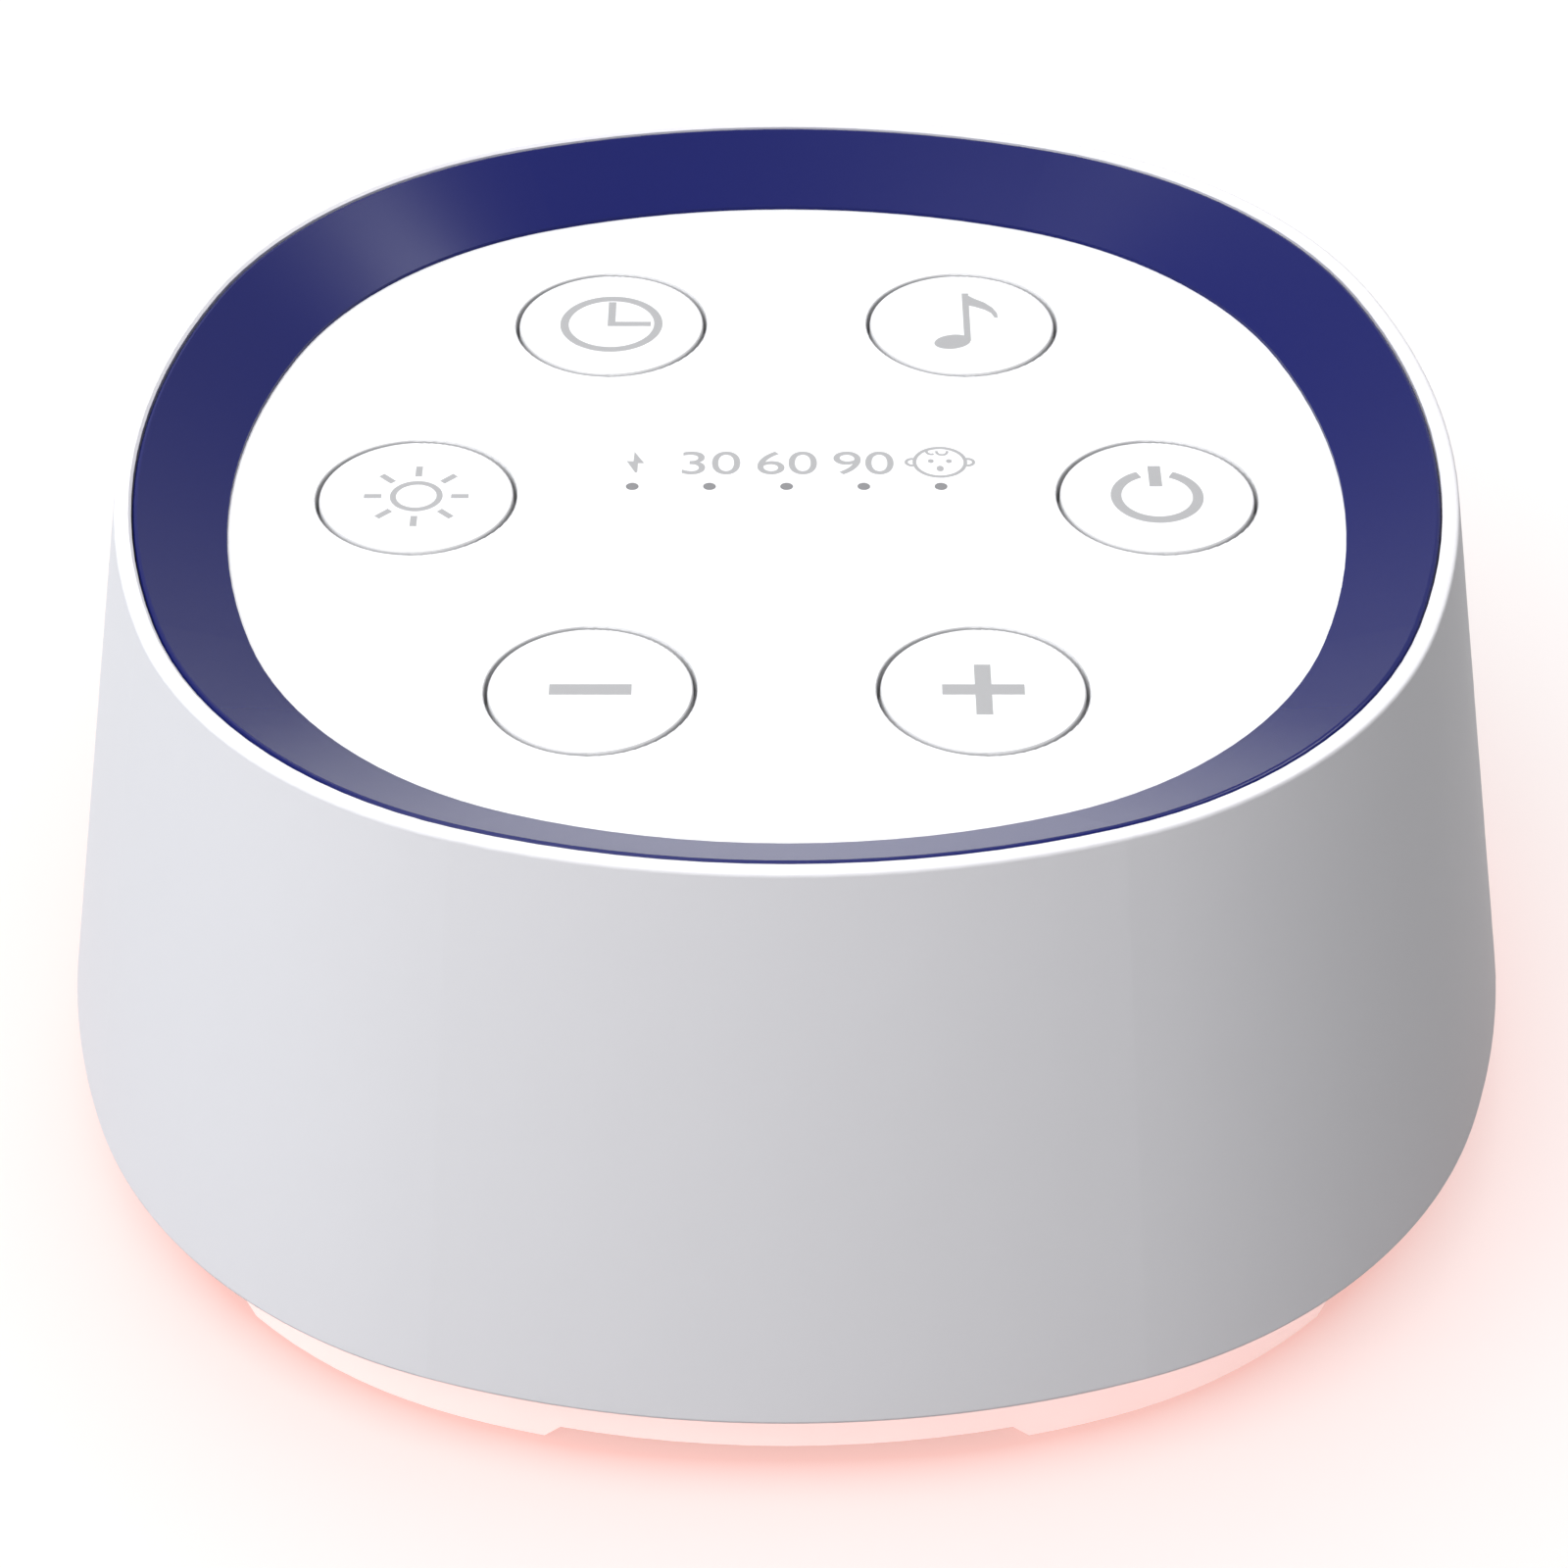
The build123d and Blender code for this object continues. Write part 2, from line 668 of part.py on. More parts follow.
# ---------------------------------------------------------------- base plate
with BuildPart() as base_plate:
    with BuildSketch(Plane.XY.offset(plate_bottom)):
        Squircle(ring_inner - fit_gap)
    extrude(amount=plate_thickness)
    with BuildSketch(Plane.XY.offset(plate_top)):
        Squircle(strip_rib_half_width)
        Squircle(rib_inner, mode=Mode.SUBTRACT)
    extrude(amount=strip_rib_height)
    with BuildSketch(Plane.XY.offset(plate_top)):
        with Locations(*corner_spots):
            Circle(corner_post_radius)
    extrude(amount=flange_top - plate_top)
    with BuildSketch(Plane.XY.offset(plate_top)):
        with Locations(*speaker_spots):
            Circle(speaker_post_radius)
    extrude(amount=basket_front - plate_top)
    with BuildSketch(Plane.XY.offset(plate_top)):
        with Locations(*main_post_spots):
            Circle(main_post_radius)
    extrude(amount=main_board_bottom - plate_top)
    with BuildSketch(Plane.XY.offset(plate_top)):
        with Locations(*holder_spots):
            Circle(holder_post_radius)
    extrude(amount=holder_post_height)
    # Sound holes in rings under the loudspeaker
    with BuildSketch(Plane.XY.offset(plate_bottom)):
        Circle(grille_hole_radius)
        for ring in range(1, grille_rings + 1):
            with PolarLocations(ring * grille_pitch, 6 * ring):
                Circle(grille_hole_radius)
    extrude(amount=plate_thickness, mode=Mode.SUBTRACT)
    # Feet recesses, with the base screws' heads behind the feet
    with BuildSketch(Plane.XY.offset(plate_bottom)):
        with Locations(*corner_spots):
            Circle(foot_radius + fit_gap)
    extrude(amount=foot_recess, mode=Mode.SUBTRACT)
    with BuildSketch(Plane.XY.offset(plate_bottom)):
        with Locations(*corner_spots):
            Circle(base_screw[1] + shank_gap)
    extrude(amount=flange_top - base_screw_seat - plate_bottom, mode=Mode.SUBTRACT)
    with BuildSketch(Plane.XY.offset(plate_bottom)):
        with Locations(*corner_spots):
            Circle(base_screw[0] + shank_gap)
    extrude(amount=flange_top - plate_bottom, mode=Mode.SUBTRACT)
    # Pilot holes from above
    for spots, top, depth in (
        (speaker_spots, basket_front, speaker_screw_length - sheet),
        (main_post_spots, main_board_bottom, main_screw_length - board_thickness),
        (holder_spots, holder_bottom, battery_screw_length),
    ):
        with BuildSketch(Plane.XY.offset(top)):
            with Locations(*spots):
                Circle(small_screw[0] + thread_gap)
        extrude(amount=-depth - shank_gap, mode=Mode.SUBTRACT)
keep("base_plate", base_plate.part)
keep("base_screws", screws(corner_spots, flange_top - base_screw_seat, base_screw, base_screw_length))

with BuildPart() as rubber_feet:
    with BuildSketch():
        with Locations(*corner_spots):
            Circle(foot_radius)
    extrude(amount=plate_bottom + foot_recess)
    fillet(rubber_feet.edges().group_by(Axis.Z)[0], body_edge_round)
keep("rubber_feet", rubber_feet.part)

# ---------------------------------------------------------------- light strip
strip_bottom = plate_top + strip_inset
strip_height = strip_rib_height - strip_inset
with BuildPart() as light_strip:
    with BuildSketch(Plane.XY.offset(strip_bottom)):
        Squircle(strip_rib_half_width + strip_thickness)
        Squircle(strip_rib_half_width, mode=Mode.SUBTRACT)
        with Locations((0, strip_rib_half_width)):
            Rectangle(strip_end_gap, strip_end_gap, mode=Mode.SUBTRACT)
    extrude(amount=strip_height)
keep("light_strip", light_strip.part)

strip_line = Squircle(strip_rib_half_width + strip_thickness).wire()
with BuildPart() as strip_leds:
    for i in range(strip_led_count):
        share = (i + 0.5) / strip_led_count
        spot = strip_line @ share
        led_plane = Plane(Vector(spot.X, spot.Y, strip_bottom), strip_line % share, (0, 0, 1))
        with BuildSketch(led_plane):
            with Locations((0, -strip_led_depth / 2)):
                Rectangle(strip_led_width, strip_led_depth)
        extrude(amount=strip_led_height)
keep("light_strip_leds", strip_leds.part)

# ---------------------------------------------------------------- main board
with BuildPart() as main_board:
    with BuildSketch(Plane.XY.offset(main_board_bottom)):
        Squircle(main_board_back)
        with Locations((0, main_board_front)):
            Rectangle(
                2 * main_board_half_width,
                main_board_back,
                align=(Align.CENTER, Align.MIN),
                mode=Mode.INTERSECT,
            )
        with Locations(*corner_spots):
            Circle(corner_boss_radius + board_boss_gap, mode=Mode.SUBTRACT)
        with Locations(*main_post_spots):
            Circle(small_screw[0] + shank_gap, mode=Mode.SUBTRACT)
    extrude(amount=board_thickness)
keep("main_board", main_board.part)
keep("main_board_screws", screws(main_post_spots, main_board_top, small_screw, -main_screw_length))

with BuildPart() as chips:
    with BuildSketch(Plane.XY.offset(main_board_top)):
        with Locations(on_board(controller_place)):
            Rectangle(controller_width, controller_width)
        with Locations(*[on_board(place) for place in small_chip_places]):
            Rectangle(small_chip_width, small_chip_depth)
    extrude(amount=chip_height)
keep("main_board_chips", chips.part)

with BuildPart() as capacitors:
    with BuildSketch(Plane.XY.offset(main_board_top)):
        with Locations(*[on_board(place) for place in capacitor_places]):
            Circle(capacitor_radius)
    extrude(amount=capacitor_height)
keep("capacitors", capacitors.part)
inductor_spot = on_board(inductor_place)
keep("inductor", blocks([inductor_spot], inductor_width, inductor_width, main_board_top, inductor_height))

with BuildPart() as connectors:
    with BuildSketch(Plane.XY.offset(main_board_top)):
        with Locations(*[(x, connector_y) for x in (strip_plug_x, speaker_plug_x, battery_plug_x)]):
            Rectangle(two_pin_width, connector_depth)
        with Locations((panel_plug_x, connector_y)):
            Rectangle(four_pin_width, connector_depth)
    extrude(amount=connector_height)
    with BuildSketch(Plane.XY.offset(control_board_bottom)):
        with Locations((panel_plug_x, panel_plug_y)):
            Rectangle(four_pin_width, connector_depth)
    extrude(amount=-connector_height)
keep("wire_connectors", connectors.part)

# ---------------------------------------------------------------- charging socket
socket_mouth = wall_half_width(socket_z) - port_face_inset
with BuildPart() as usb_port_shell:
    with BuildSketch(Plane((0, socket_mouth, socket_z), (1, 0, 0), (0, 1, 0))):
        RectangleRounded(socket_width, socket_height, socket_corner)
        RectangleRounded(
            socket_width - 2 * socket_sheet,
            socket_height - 2 * socket_sheet,
            socket_corner - socket_sheet,
            mode=Mode.SUBTRACT,
        )
    extrude(amount=-socket_length)
keep("usb_port_shell", usb_port_shell.part)

with BuildPart() as usb_port_tongue:
    with BuildSketch(Plane((0, socket_mouth - socket_length, socket_z), (1, 0, 0), (0, 1, 0))):
        RectangleRounded(
            socket_width - 2 * socket_sheet, socket_height - 2 * socket_sheet, socket_corner - socket_sheet
        )
    extrude(amount=socket_back)
    with BuildSketch(Plane((0, socket_mouth - socket_length, socket_z), (1, 0, 0), (0, 1, 0))):
        Rectangle(tongue_width, tongue_thickness)
    extrude(amount=socket_back + tongue_length)
keep("usb_port_tongue", usb_port_tongue.part)

# ---------------------------------------------------------------- battery
with BuildPart() as battery_holder:
    with BuildSketch(Plane.YZ.offset(-holder_end)):
        with Locations((cell_y, cell_height)):
            Circle(cell_radius + holder_wall)
        with Locations((cell_y, holder_bottom)):
            Rectangle(2 * cell_radius, holder_floor, align=(Align.CENTER, Align.MIN))
        with Locations((cell_y, holder_bottom)):
            Rectangle(
                3 * cell_radius,
                holder_floor + cell_radius + holder_wrap,
                align=(Align.CENTER, Align.MIN),
                mode=Mode.INTERSECT,
            )
    extrude(amount=2 * holder_end)
    with BuildSketch(Plane.YZ.offset(-cell_end - cell_tab_thickness)):
        with Locations((cell_y, cell_height)):
            Circle(cell_radius)
    extrude(amount=2 * (cell_end + cell_tab_thickness), mode=Mode.SUBTRACT)
    with BuildSketch(Plane.XY.offset(holder_bottom + holder_floor)):
        with Locations(*holder_spots):
            Circle(small_screw[1] + shank_gap)
    extrude(amount=-small_screw[2], mode=Mode.SUBTRACT)
    with BuildSketch(Plane.XY.offset(holder_bottom)):
        with Locations(*holder_spots):
            Circle(small_screw[0] + shank_gap)
    extrude(amount=holder_floor, mode=Mode.SUBTRACT)
keep("battery_holder", battery_holder.part)
holder_seat = holder_bottom + holder_floor - small_screw[2]
keep("battery_holder_screws", screws(holder_spots, holder_seat, small_screw, -battery_screw_length))

with BuildPart() as battery_cell:
    with BuildSketch(Plane.YZ.offset(-cell_end)):
        with Locations((cell_y, cell_height)):
            Circle(cell_radius)
    extrude(amount=2 * cell_end)
keep("battery_cell", battery_cell.part)

with BuildPart() as battery_tabs:
    for start in (-cell_end - cell_tab_thickness, cell_end):
        with BuildSketch(Plane.YZ.offset(start)):
            with Locations((cell_y, cell_height)):
                Rectangle(cell_tab_width, cell_radius + cell_tab_rise, align=(Align.CENTER, Align.MIN))
        extrude(amount=cell_tab_thickness)
keep("battery_tabs", battery_tabs.part)

# ---------------------------------------------------------------- loudspeaker
with BuildPart() as speaker_mesh:
    with BuildSketch(Plane.XY.offset(plate_top)):
        Circle(mesh_radius)
    extrude(amount=mesh_thickness)
keep("speaker_mesh", speaker_mesh.part)

with BuildPart() as speaker_gasket:
    with BuildSketch(Plane.XY.offset(plate_top + mesh_thickness)):
        Circle(mesh_radius)
        Circle(basket_opening, mode=Mode.SUBTRACT)
    extrude(amount=gasket_thickness)
keep("speaker_gasket", speaker_gasket.part)

spider_seat = basket_front + spider_seat_height
with BuildPart() as speaker_frame:
    with BuildSketch(Plane.XY.offset(basket_front)):
        RectangleRounded(2 * speaker_half_width, 2 * speaker_half_width, speaker_corner_radius)
        Circle(basket_opening, mode=Mode.SUBTRACT)
        with Locations(*speaker_spots):
            Circle(small_screw[0] + shank_gap, mode=Mode.SUBTRACT)
    extrude(amount=sheet)
    with BuildSketch(Plane.XZ):
        with BuildLine():
            Polyline(
                (basket_opening, basket_front),
                (spider_seat_radius, spider_seat),
                (seat_inner, spider_seat),
                (seat_inner, top_plate_front - sheet),
                (basket_hole, top_plate_front - sheet),
                (basket_hole, top_plate_front),
                (seat_inner + sheet, top_plate_front),
                (seat_inner + sheet, spider_seat + sheet),
                (spider_seat_radius + sheet / 2, spider_seat + sheet),
                (basket_opening + sheet, basket_front + sheet),
                (basket_opening + sheet, basket_front),
                close=True,
            )
        make_face()
    revolve()
    # Four windows in the sloping wall
    with BuildSketch(Plane.XY.offset(basket_front + window_start)):
        with PolarLocations((basket_opening + spider_seat_radius) / 2, 4):
            Rectangle(basket_opening - seat_inner, window_width)
    extrude(amount=window_height, mode=Mode.SUBTRACT)
keep("speaker_frame", speaker_frame.part)
keep("speaker_screws", screws(speaker_spots, basket_front + sheet, small_screw, -speaker_screw_length))

roll_outer = (basket_opening - cone_radius) / 2
roll_centre = (basket_opening + cone_radius) / 2
with BuildPart() as speaker_surround:
    with BuildSketch(Plane.XZ):
        with Locations((roll_centre, basket_front)):
            Circle(roll_outer)
            Circle(roll_outer - surround_thickness, mode=Mode.SUBTRACT)
            Rectangle(4 * roll_outer, 2 * roll_outer, align=(Align.CENTER, Align.MIN), mode=Mode.SUBTRACT)
        with Locations((cone_radius, basket_front)):
            Rectangle(2 * surround_flat, surround_thickness, align=(Align.CENTER, Align.MAX))
        with Locations((basket_opening - surround_thickness, basket_front)):
            Rectangle(gasket_width, surround_thickness, align=(Align.MIN, Align.MAX))
        with Locations((roll_centre, basket_front)):
            Circle(roll_outer - surround_thickness, mode=Mode.SUBTRACT)
    revolve()
keep("speaker_surround", speaker_surround.part)

with BuildPart() as speaker_cone:
    with BuildSketch(Plane.XZ):
        with BuildLine():
            Polyline(
                (former_radius, basket_front + cone_neck_height),
                (former_radius, basket_front + cone_neck_height + cone_thickness),
                (cone_radius, basket_front + cone_thickness),
                (cone_radius, basket_front),
                close=True,
            )
        make_face()
    revolve()
keep("speaker_cone", speaker_cone.part)

cone_slope = cone_neck_height / (cone_radius - former_radius)
cap_seat = basket_front + cone_slope * (cone_radius - cap_radius)
cap_curve = (cap_radius**2 + cap_rise**2) / (2 * cap_rise)
with BuildPart() as dust_cap:
    with BuildSketch(Plane.XZ):
        with Locations((0, cap_seat - cap_rise + cap_curve)):
            Circle(cap_curve)
            Circle(cap_curve - cap_thickness, mode=Mode.SUBTRACT)
        Rectangle(cap_radius, cap_seat, align=(Align.MIN, Align.MIN), mode=Mode.INTERSECT)
    revolve()
keep("dust_cap", dust_cap.part)

with BuildPart() as spider:
    wave_pitch = (seat_inner - former_radius) / (2 * spider_waves)
    wave = [(former_radius, spider_seat)]
    for i in range(1, 2 * spider_waves):
        rise = -spider_wave if i % 2 else spider_wave
        wave.append((former_radius + i * wave_pitch, spider_seat - spider_wave + rise))
    wave += [(seat_inner, spider_seat), (spider_seat_radius - spider_thickness, spider_seat)]
    under = [(x, z - spider_thickness) for x, z in reversed(wave)]
    with BuildSketch(Plane.XZ):
        with BuildLine():
            Polyline(*wave, *under, close=True)
        make_face()
    revolve()
keep("spider", spider.part)

with BuildPart() as voice_coil_former:
    with BuildSketch(Plane.XY.offset(basket_front + cone_neck_height)):
        Circle(former_radius)
        Circle(former_radius - former_wall, mode=Mode.SUBTRACT)
    extrude(amount=top_plate_front + former_reach - basket_front - cone_neck_height)
keep("voice_coil_former", voice_coil_former.part)

with BuildPart() as voice_coil_winding:
    with BuildSketch(Plane.XY.offset(top_plate_front + former_reach - winding_height)):
        Circle(coil_radius)
        Circle(former_radius, mode=Mode.SUBTRACT)
    extrude(amount=winding_height)
keep("voice_coil_winding", voice_coil_winding.part)

with BuildPart() as speaker_top_plate:
    with BuildSketch(Plane.XY.offset(top_plate_front)):
        Circle(top_plate_radius)
        Circle(coil_radius + coil_gap, mode=Mode.SUBTRACT)
    extrude(amount=top_plate_thickness)
keep("speaker_top_plate", speaker_top_plate.part)

with BuildPart() as speaker_magnet:
    with BuildSketch(Plane.XY.offset(magnet_front)):
        Circle(magnet_radius)
        Circle(magnet_bore, mode=Mode.SUBTRACT)
    extrude(amount=magnet_thickness)
keep("speaker_magnet", speaker_magnet.part)

with BuildPart() as speaker_yoke:
    with BuildSketch(Plane.XY.offset(yoke_front)):
        Circle(top_plate_radius)
    extrude(amount=yoke_thickness)
    with BuildSketch(Plane.XY.offset(top_plate_front)):
        Circle(former_radius - former_wall - coil_gap)
    extrude(amount=yoke_front - top_plate_front)
keep("speaker_yoke", speaker_yoke.part)
tag_seat = basket_front + sheet
keep("speaker_terminals", blocks([(tag_x, tag_y)], tag_length, tag_width, tag_seat, tag_thickness))

# ---------------------------------------------------------------- leads
plug_top = main_board_top + connector_height
tag_top = tag_seat + tag_thickness
tab_top = cell_height + cell_radius + cell_tab_rise
panel_plug_bottom = control_board_bottom - connector_height
tab_x = cell_end + cell_tab_thickness / 2

with BuildPart() as speaker_leads:
    for side in (-1, 1):
        tag_pin = tag_x + side * tag_pin_spread
        plug_pin = speaker_plug_x + side * lead_spread / 2
        add(
            lead(
                [
                    (tag_pin, tag_y, tag_top),
                    (tag_pin, tag_y, tag_top + tag_lead_rise),
                    ((tag_pin + plug_pin) / 2, (tag_y + connector_y) / 2, plug_top + speaker_lead_arch),
                    (plug_pin, connector_y, plug_top + lead_rise),
                    (plug_pin, connector_y, plug_top),
                ]
            )
        )
keep("speaker_leads", speaker_leads.part)

# The battery's leads run round the loudspeaker's right side, level with each other
run_level = tab_top + lead_rise
run_x = speaker_half_width + side_run_gap
run_front_y = side_run_front - speaker_half_width
run_back_y = speaker_half_width - side_run_back
positive_plug_x = battery_plug_x + lead_spread / 2
keep(
    "battery_lead_positive",
    lead(
        [
            (tab_x, cell_y, tab_top),
            (tab_x, cell_y, run_level),
            (run_x, run_front_y, run_level),
            (run_x, run_back_y, run_level),
            (positive_plug_x, connector_y, plug_top + battery_lead_arch),
            (positive_plug_x, connector_y, plug_top),
        ]
    ),
)
negative_plug_x = battery_plug_x - lead_spread / 2
keep(
    "battery_lead_negative",
    lead(
        [
            (-tab_x, cell_y, tab_top),
            (-tab_x, cell_y, run_level),
            (front_run_x, cell_y + front_run_inset, run_level),
            (run_x - side_run_spread, run_front_y, run_level),
            (run_x - side_run_spread, run_back_y, run_level),
            (negative_plug_x, connector_y, plug_top + battery_lead_arch),
            (negative_plug_x, connector_y, plug_top),
        ]
    ),
)

with BuildPart() as panel_cable:
    for i in range(ribbon_wires):
        wire_x = panel_plug_x + (i - (ribbon_wires - 1) / 2) * ribbon_pitch
        add(
            lead(
                [
                    (wire_x, panel_plug_y, panel_plug_bottom),
                    (wire_x, panel_plug_y, panel_plug_bottom - lead_rise),
                    (wire_x, connector_y, plug_top + lead_rise),
                    (wire_x, connector_y, plug_top),
                ],
                radius=thin_lead_radius,
            )
        )
keep("panel_cable", panel_cable.part)

with BuildPart() as strip_wires:
    strip_top = strip_bottom + strip_height
    strip_edge = strip_rib_half_width + strip_thickness / 2
    for side in (-1, 1):
        plug_pin = strip_plug_x + side * lead_spread / 2
        start_y = strip_exit_y - side * lead_spread / 2
        route = [(-strip_edge, start_y, strip_top), (-strip_edge, start_y, strip_top + lead_rise)]
        for share, rise in strip_lead_rises:
            between_x = -strip_edge + share * (plug_pin + strip_edge)
            between_y = start_y + share * (connector_y - start_y)
            route.append((between_x, between_y, strip_top + rise))
        route += [(plug_pin, connector_y, plug_top + lead_rise), (plug_pin, connector_y, plug_top)]
        add(lead(route, radius=thin_lead_radius))
keep("light_strip_wires", strip_wires.part)
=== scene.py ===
# %% [markdown]
# # A white noise sound machine
# The machine is a white drafted shell with a dished navy ring let into its top. Inside the
# ring lies a keypad of six round push keys, and under the shell a pale pink ring glows onto
# the table. The pieces arrive from the CAD model at their real size and place. This lesson
# gives them their finishes, prints the icons, and sets up the camera and the light.

# %% Load the frame
from math import asin, cos, degrees, pi, radians, sin

import bpy
from mathutils import Matrix, Vector


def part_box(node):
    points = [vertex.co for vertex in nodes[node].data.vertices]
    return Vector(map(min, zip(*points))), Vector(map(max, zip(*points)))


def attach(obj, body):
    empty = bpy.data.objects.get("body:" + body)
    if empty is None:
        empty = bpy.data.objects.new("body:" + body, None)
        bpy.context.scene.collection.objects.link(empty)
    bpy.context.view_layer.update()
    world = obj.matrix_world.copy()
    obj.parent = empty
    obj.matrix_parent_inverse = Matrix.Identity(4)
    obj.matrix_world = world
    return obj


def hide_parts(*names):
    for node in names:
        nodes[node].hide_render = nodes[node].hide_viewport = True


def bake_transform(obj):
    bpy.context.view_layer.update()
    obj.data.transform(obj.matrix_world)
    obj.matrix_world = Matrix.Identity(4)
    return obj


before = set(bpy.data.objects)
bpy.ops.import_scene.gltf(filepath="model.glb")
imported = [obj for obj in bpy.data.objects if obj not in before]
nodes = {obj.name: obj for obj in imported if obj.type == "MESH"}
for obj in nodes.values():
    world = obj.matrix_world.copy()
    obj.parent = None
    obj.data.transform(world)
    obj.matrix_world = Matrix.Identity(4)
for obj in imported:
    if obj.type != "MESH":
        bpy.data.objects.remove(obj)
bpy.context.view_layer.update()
mm = 0.001

# %% [markdown]
# ## The camera
# A long lens from well above the front keeps the machine nearly free of perspective. Its
# place is measured from the middle of the keypad, which it looks down at. A camera that
# isn't turned looks straight down, so its tilt is the angle that lifts its view forwards.

# %% Camera
scene = bpy.context.scene
panel_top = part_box("control_panel")[1].z
camera_aside = -0.2 * mm
camera_back = 267.8 * mm
camera_rise = 184.1 * mm
camera_tilt = radians(51.71)


def new_object(name, data):
    """Makes an object that holds this data, and links it to the scene."""
    made = bpy.data.objects.new(name, data)
    scene.collection.objects.link(made)
    return made


camera_data = bpy.data.cameras.new("camera")
camera_data.lens = 99.92
camera_data.sensor_width = 36.0
camera = new_object("camera", camera_data)
camera.location = (camera_aside, -camera_back, panel_top + camera_rise)
camera.rotation_euler = (camera_tilt, 0, 0)
scene.camera = camera
scene.view_settings.view_transform = "Standard"
print("the camera is", round(camera_rise / mm), "mm above the keypad and tilted up by",
      round(degrees(camera_tilt), 1), "degrees")

# %% [markdown]
# ## Colours
# A colour is chosen as it shows on a display, and a shader takes it as an amount of light.
# One function goes from the first to the second. Another makes a colour darker or paler.

# %% Colours
def linear(red, green, blue):
    """A display colour, 0 to 255, as the linear colour that a shader takes."""
    shares = [channel / 255 for channel in (red, green, blue)]
    light = [s / 12.92 if s <= 0.04045 else ((s + 0.055) / 1.055) ** 2.4 for s in shares]
    return (*light, 1.0)


def shade(colour, factor):
    return (*[channel * factor for channel in colour[:3]], 1.0)


print("a mid grey of 128 is", round(linear(128, 128, 128)[0], 3), "as a linear value")

# %% [markdown]
# ## Shader maths as plain expressions
# A finish is easier to read as `mask * 2 + 0.1` than as a row of Math nodes. `Field` wraps
# one output socket, and Python's own operators add the Math nodes to its tree.

# %% Fields
class Field:
    """A value that varies over a surface: one output socket of a node."""

    def __init__(self, shading, socket):
        self.shading = shading
        self.socket = socket

    def sibling(self, output):
        """Another output of the same node."""
        return Field(self.shading, self.socket.node.outputs[output])

    def maths(self, operation, *others):
        """One Math node, which takes this field first and the others after it."""
        values = dict(enumerate((self, *others)))
        return self.shading.add("ShaderNodeMath", {"operation": operation}, values)

    def __add__(self, other):
        return self.maths("ADD", other)

    __radd__ = __add__

    def __mul__(self, other):
        return self.maths("MULTIPLY", other)

    __rmul__ = __mul__

    def __sub__(self, other):
        return self.maths("SUBTRACT", other)

    def __rsub__(self, other):
        return self.shading.add("ShaderNodeMath", {"operation": "SUBTRACT"}, {0: other, 1: self})


print("a field takes +, - and *, from either side")

# %% [markdown]
# ## One class for a node tree, and one for a material
# Every node comes from one method, `add`, which takes its type, its settings and the values
# or links of its sockets. The studio's world uses it as it is. A `Finish` is the tree of one
# material, and knows Object coordinates, noise, a blend of two colours and relief.

# %% Node trees and finishes
class Shading:
    """The node tree of a material or of the world."""

    def __init__(self, tree):
        self.tree = tree

    def add(self, kind, settings=None, values=None, output=0):
        node = self.tree.nodes.new(kind)
        for name, setting in (settings or {}).items():
            if name == "stops":
                self.set_stops(node.color_ramp, setting)
            else:
                setattr(node, name, setting)
        for name, value in (values or {}).items():
            self.feed(node.inputs[name], value)
        return Field(self, node.outputs[output])

    @staticmethod
    def set_stops(ramp, stops):
        for element, (place, colour) in zip(ramp.elements, (stops[0], stops[-1])):
            element.position, element.color = place, colour
        for place, colour in stops[1:-1]:
            ramp.elements.new(place).color = colour

    def feed(self, socket, value):
        if isinstance(value, Field):
            self.tree.links.new(value.socket, socket)
        else:
            socket.default_value = value


class Finish(Shading):
    """One procedural material, whose fields read Object coordinates in metres."""

    def __init__(self, name):
        self.material = bpy.data.materials.new(name)
        self.material.use_nodes = True
        super().__init__(self.material.node_tree)
        self.shader = self.tree.nodes["Principled BSDF"]

    def set(self, **values):
        for name, value in values.items():
            self.feed(self.shader.inputs[name.replace("_", " ")], value)

    def place(self):
        return self.add("ShaderNodeTexCoord", output="Object")

    def noise(self, size, detail=2.0):
        values = {"Vector": self.place(), "Scale": 1 / size, "Detail": detail}
        return self.add("ShaderNodeTexNoise", None, values)

    def tint(self, share, dark, pale):
        stops = {"stops": [(0.0, dark), (1.0, pale)]}
        return self.add("ShaderNodeValToRGB", stops, {"Fac": share})

    def relief(self, height, depth):
        values = {"Height": height, "Distance": depth, "Strength": 1.0}
        return self.add("ShaderNodeBump", None, values)


print("a finish knows noise, tint and relief")

# %% [markdown]
# ## Moulded plastic
# A plastic housing is never one flat value. Its mould was spark-eroded, which leaves a grain
# of about a quarter of a millimetre, and the gloss drifts a little over a wide face. Both
# come from noise: the fine one as relief, the broad one in the colour and the roughness. The
# shade in the gap round a key is painted: the keypad's pieces are darker just below its face.

# %% Moulded plastic
drift_size = 28 * mm
colour_drift = 0.015
roughness_drift = 0.05
# Painted shade in the gaps round the keys: how far below the keypad's face it starts, and how dark
# it is.
unshaded_depth = 0.02 * mm
gap_shade_factor = 0.7


def painted_gap_shade(finish, face_colour, colour):
    """The face's colour at the top of the keypad, and painted shade below it, where the gaps round
    the keys lie in shadow.
    """
    height = finish.add("ShaderNodeSeparateXYZ", None, {"Vector": finish.place()}, output="Z")
    below = height.maths("LESS_THAN", panel_top - unshaded_depth)
    values = {"Factor": below, "A": face_colour, "B": shade(colour, gap_shade_factor)}
    return finish.add("ShaderNodeMix", {"data_type": "RGBA"}, values, output="Result")


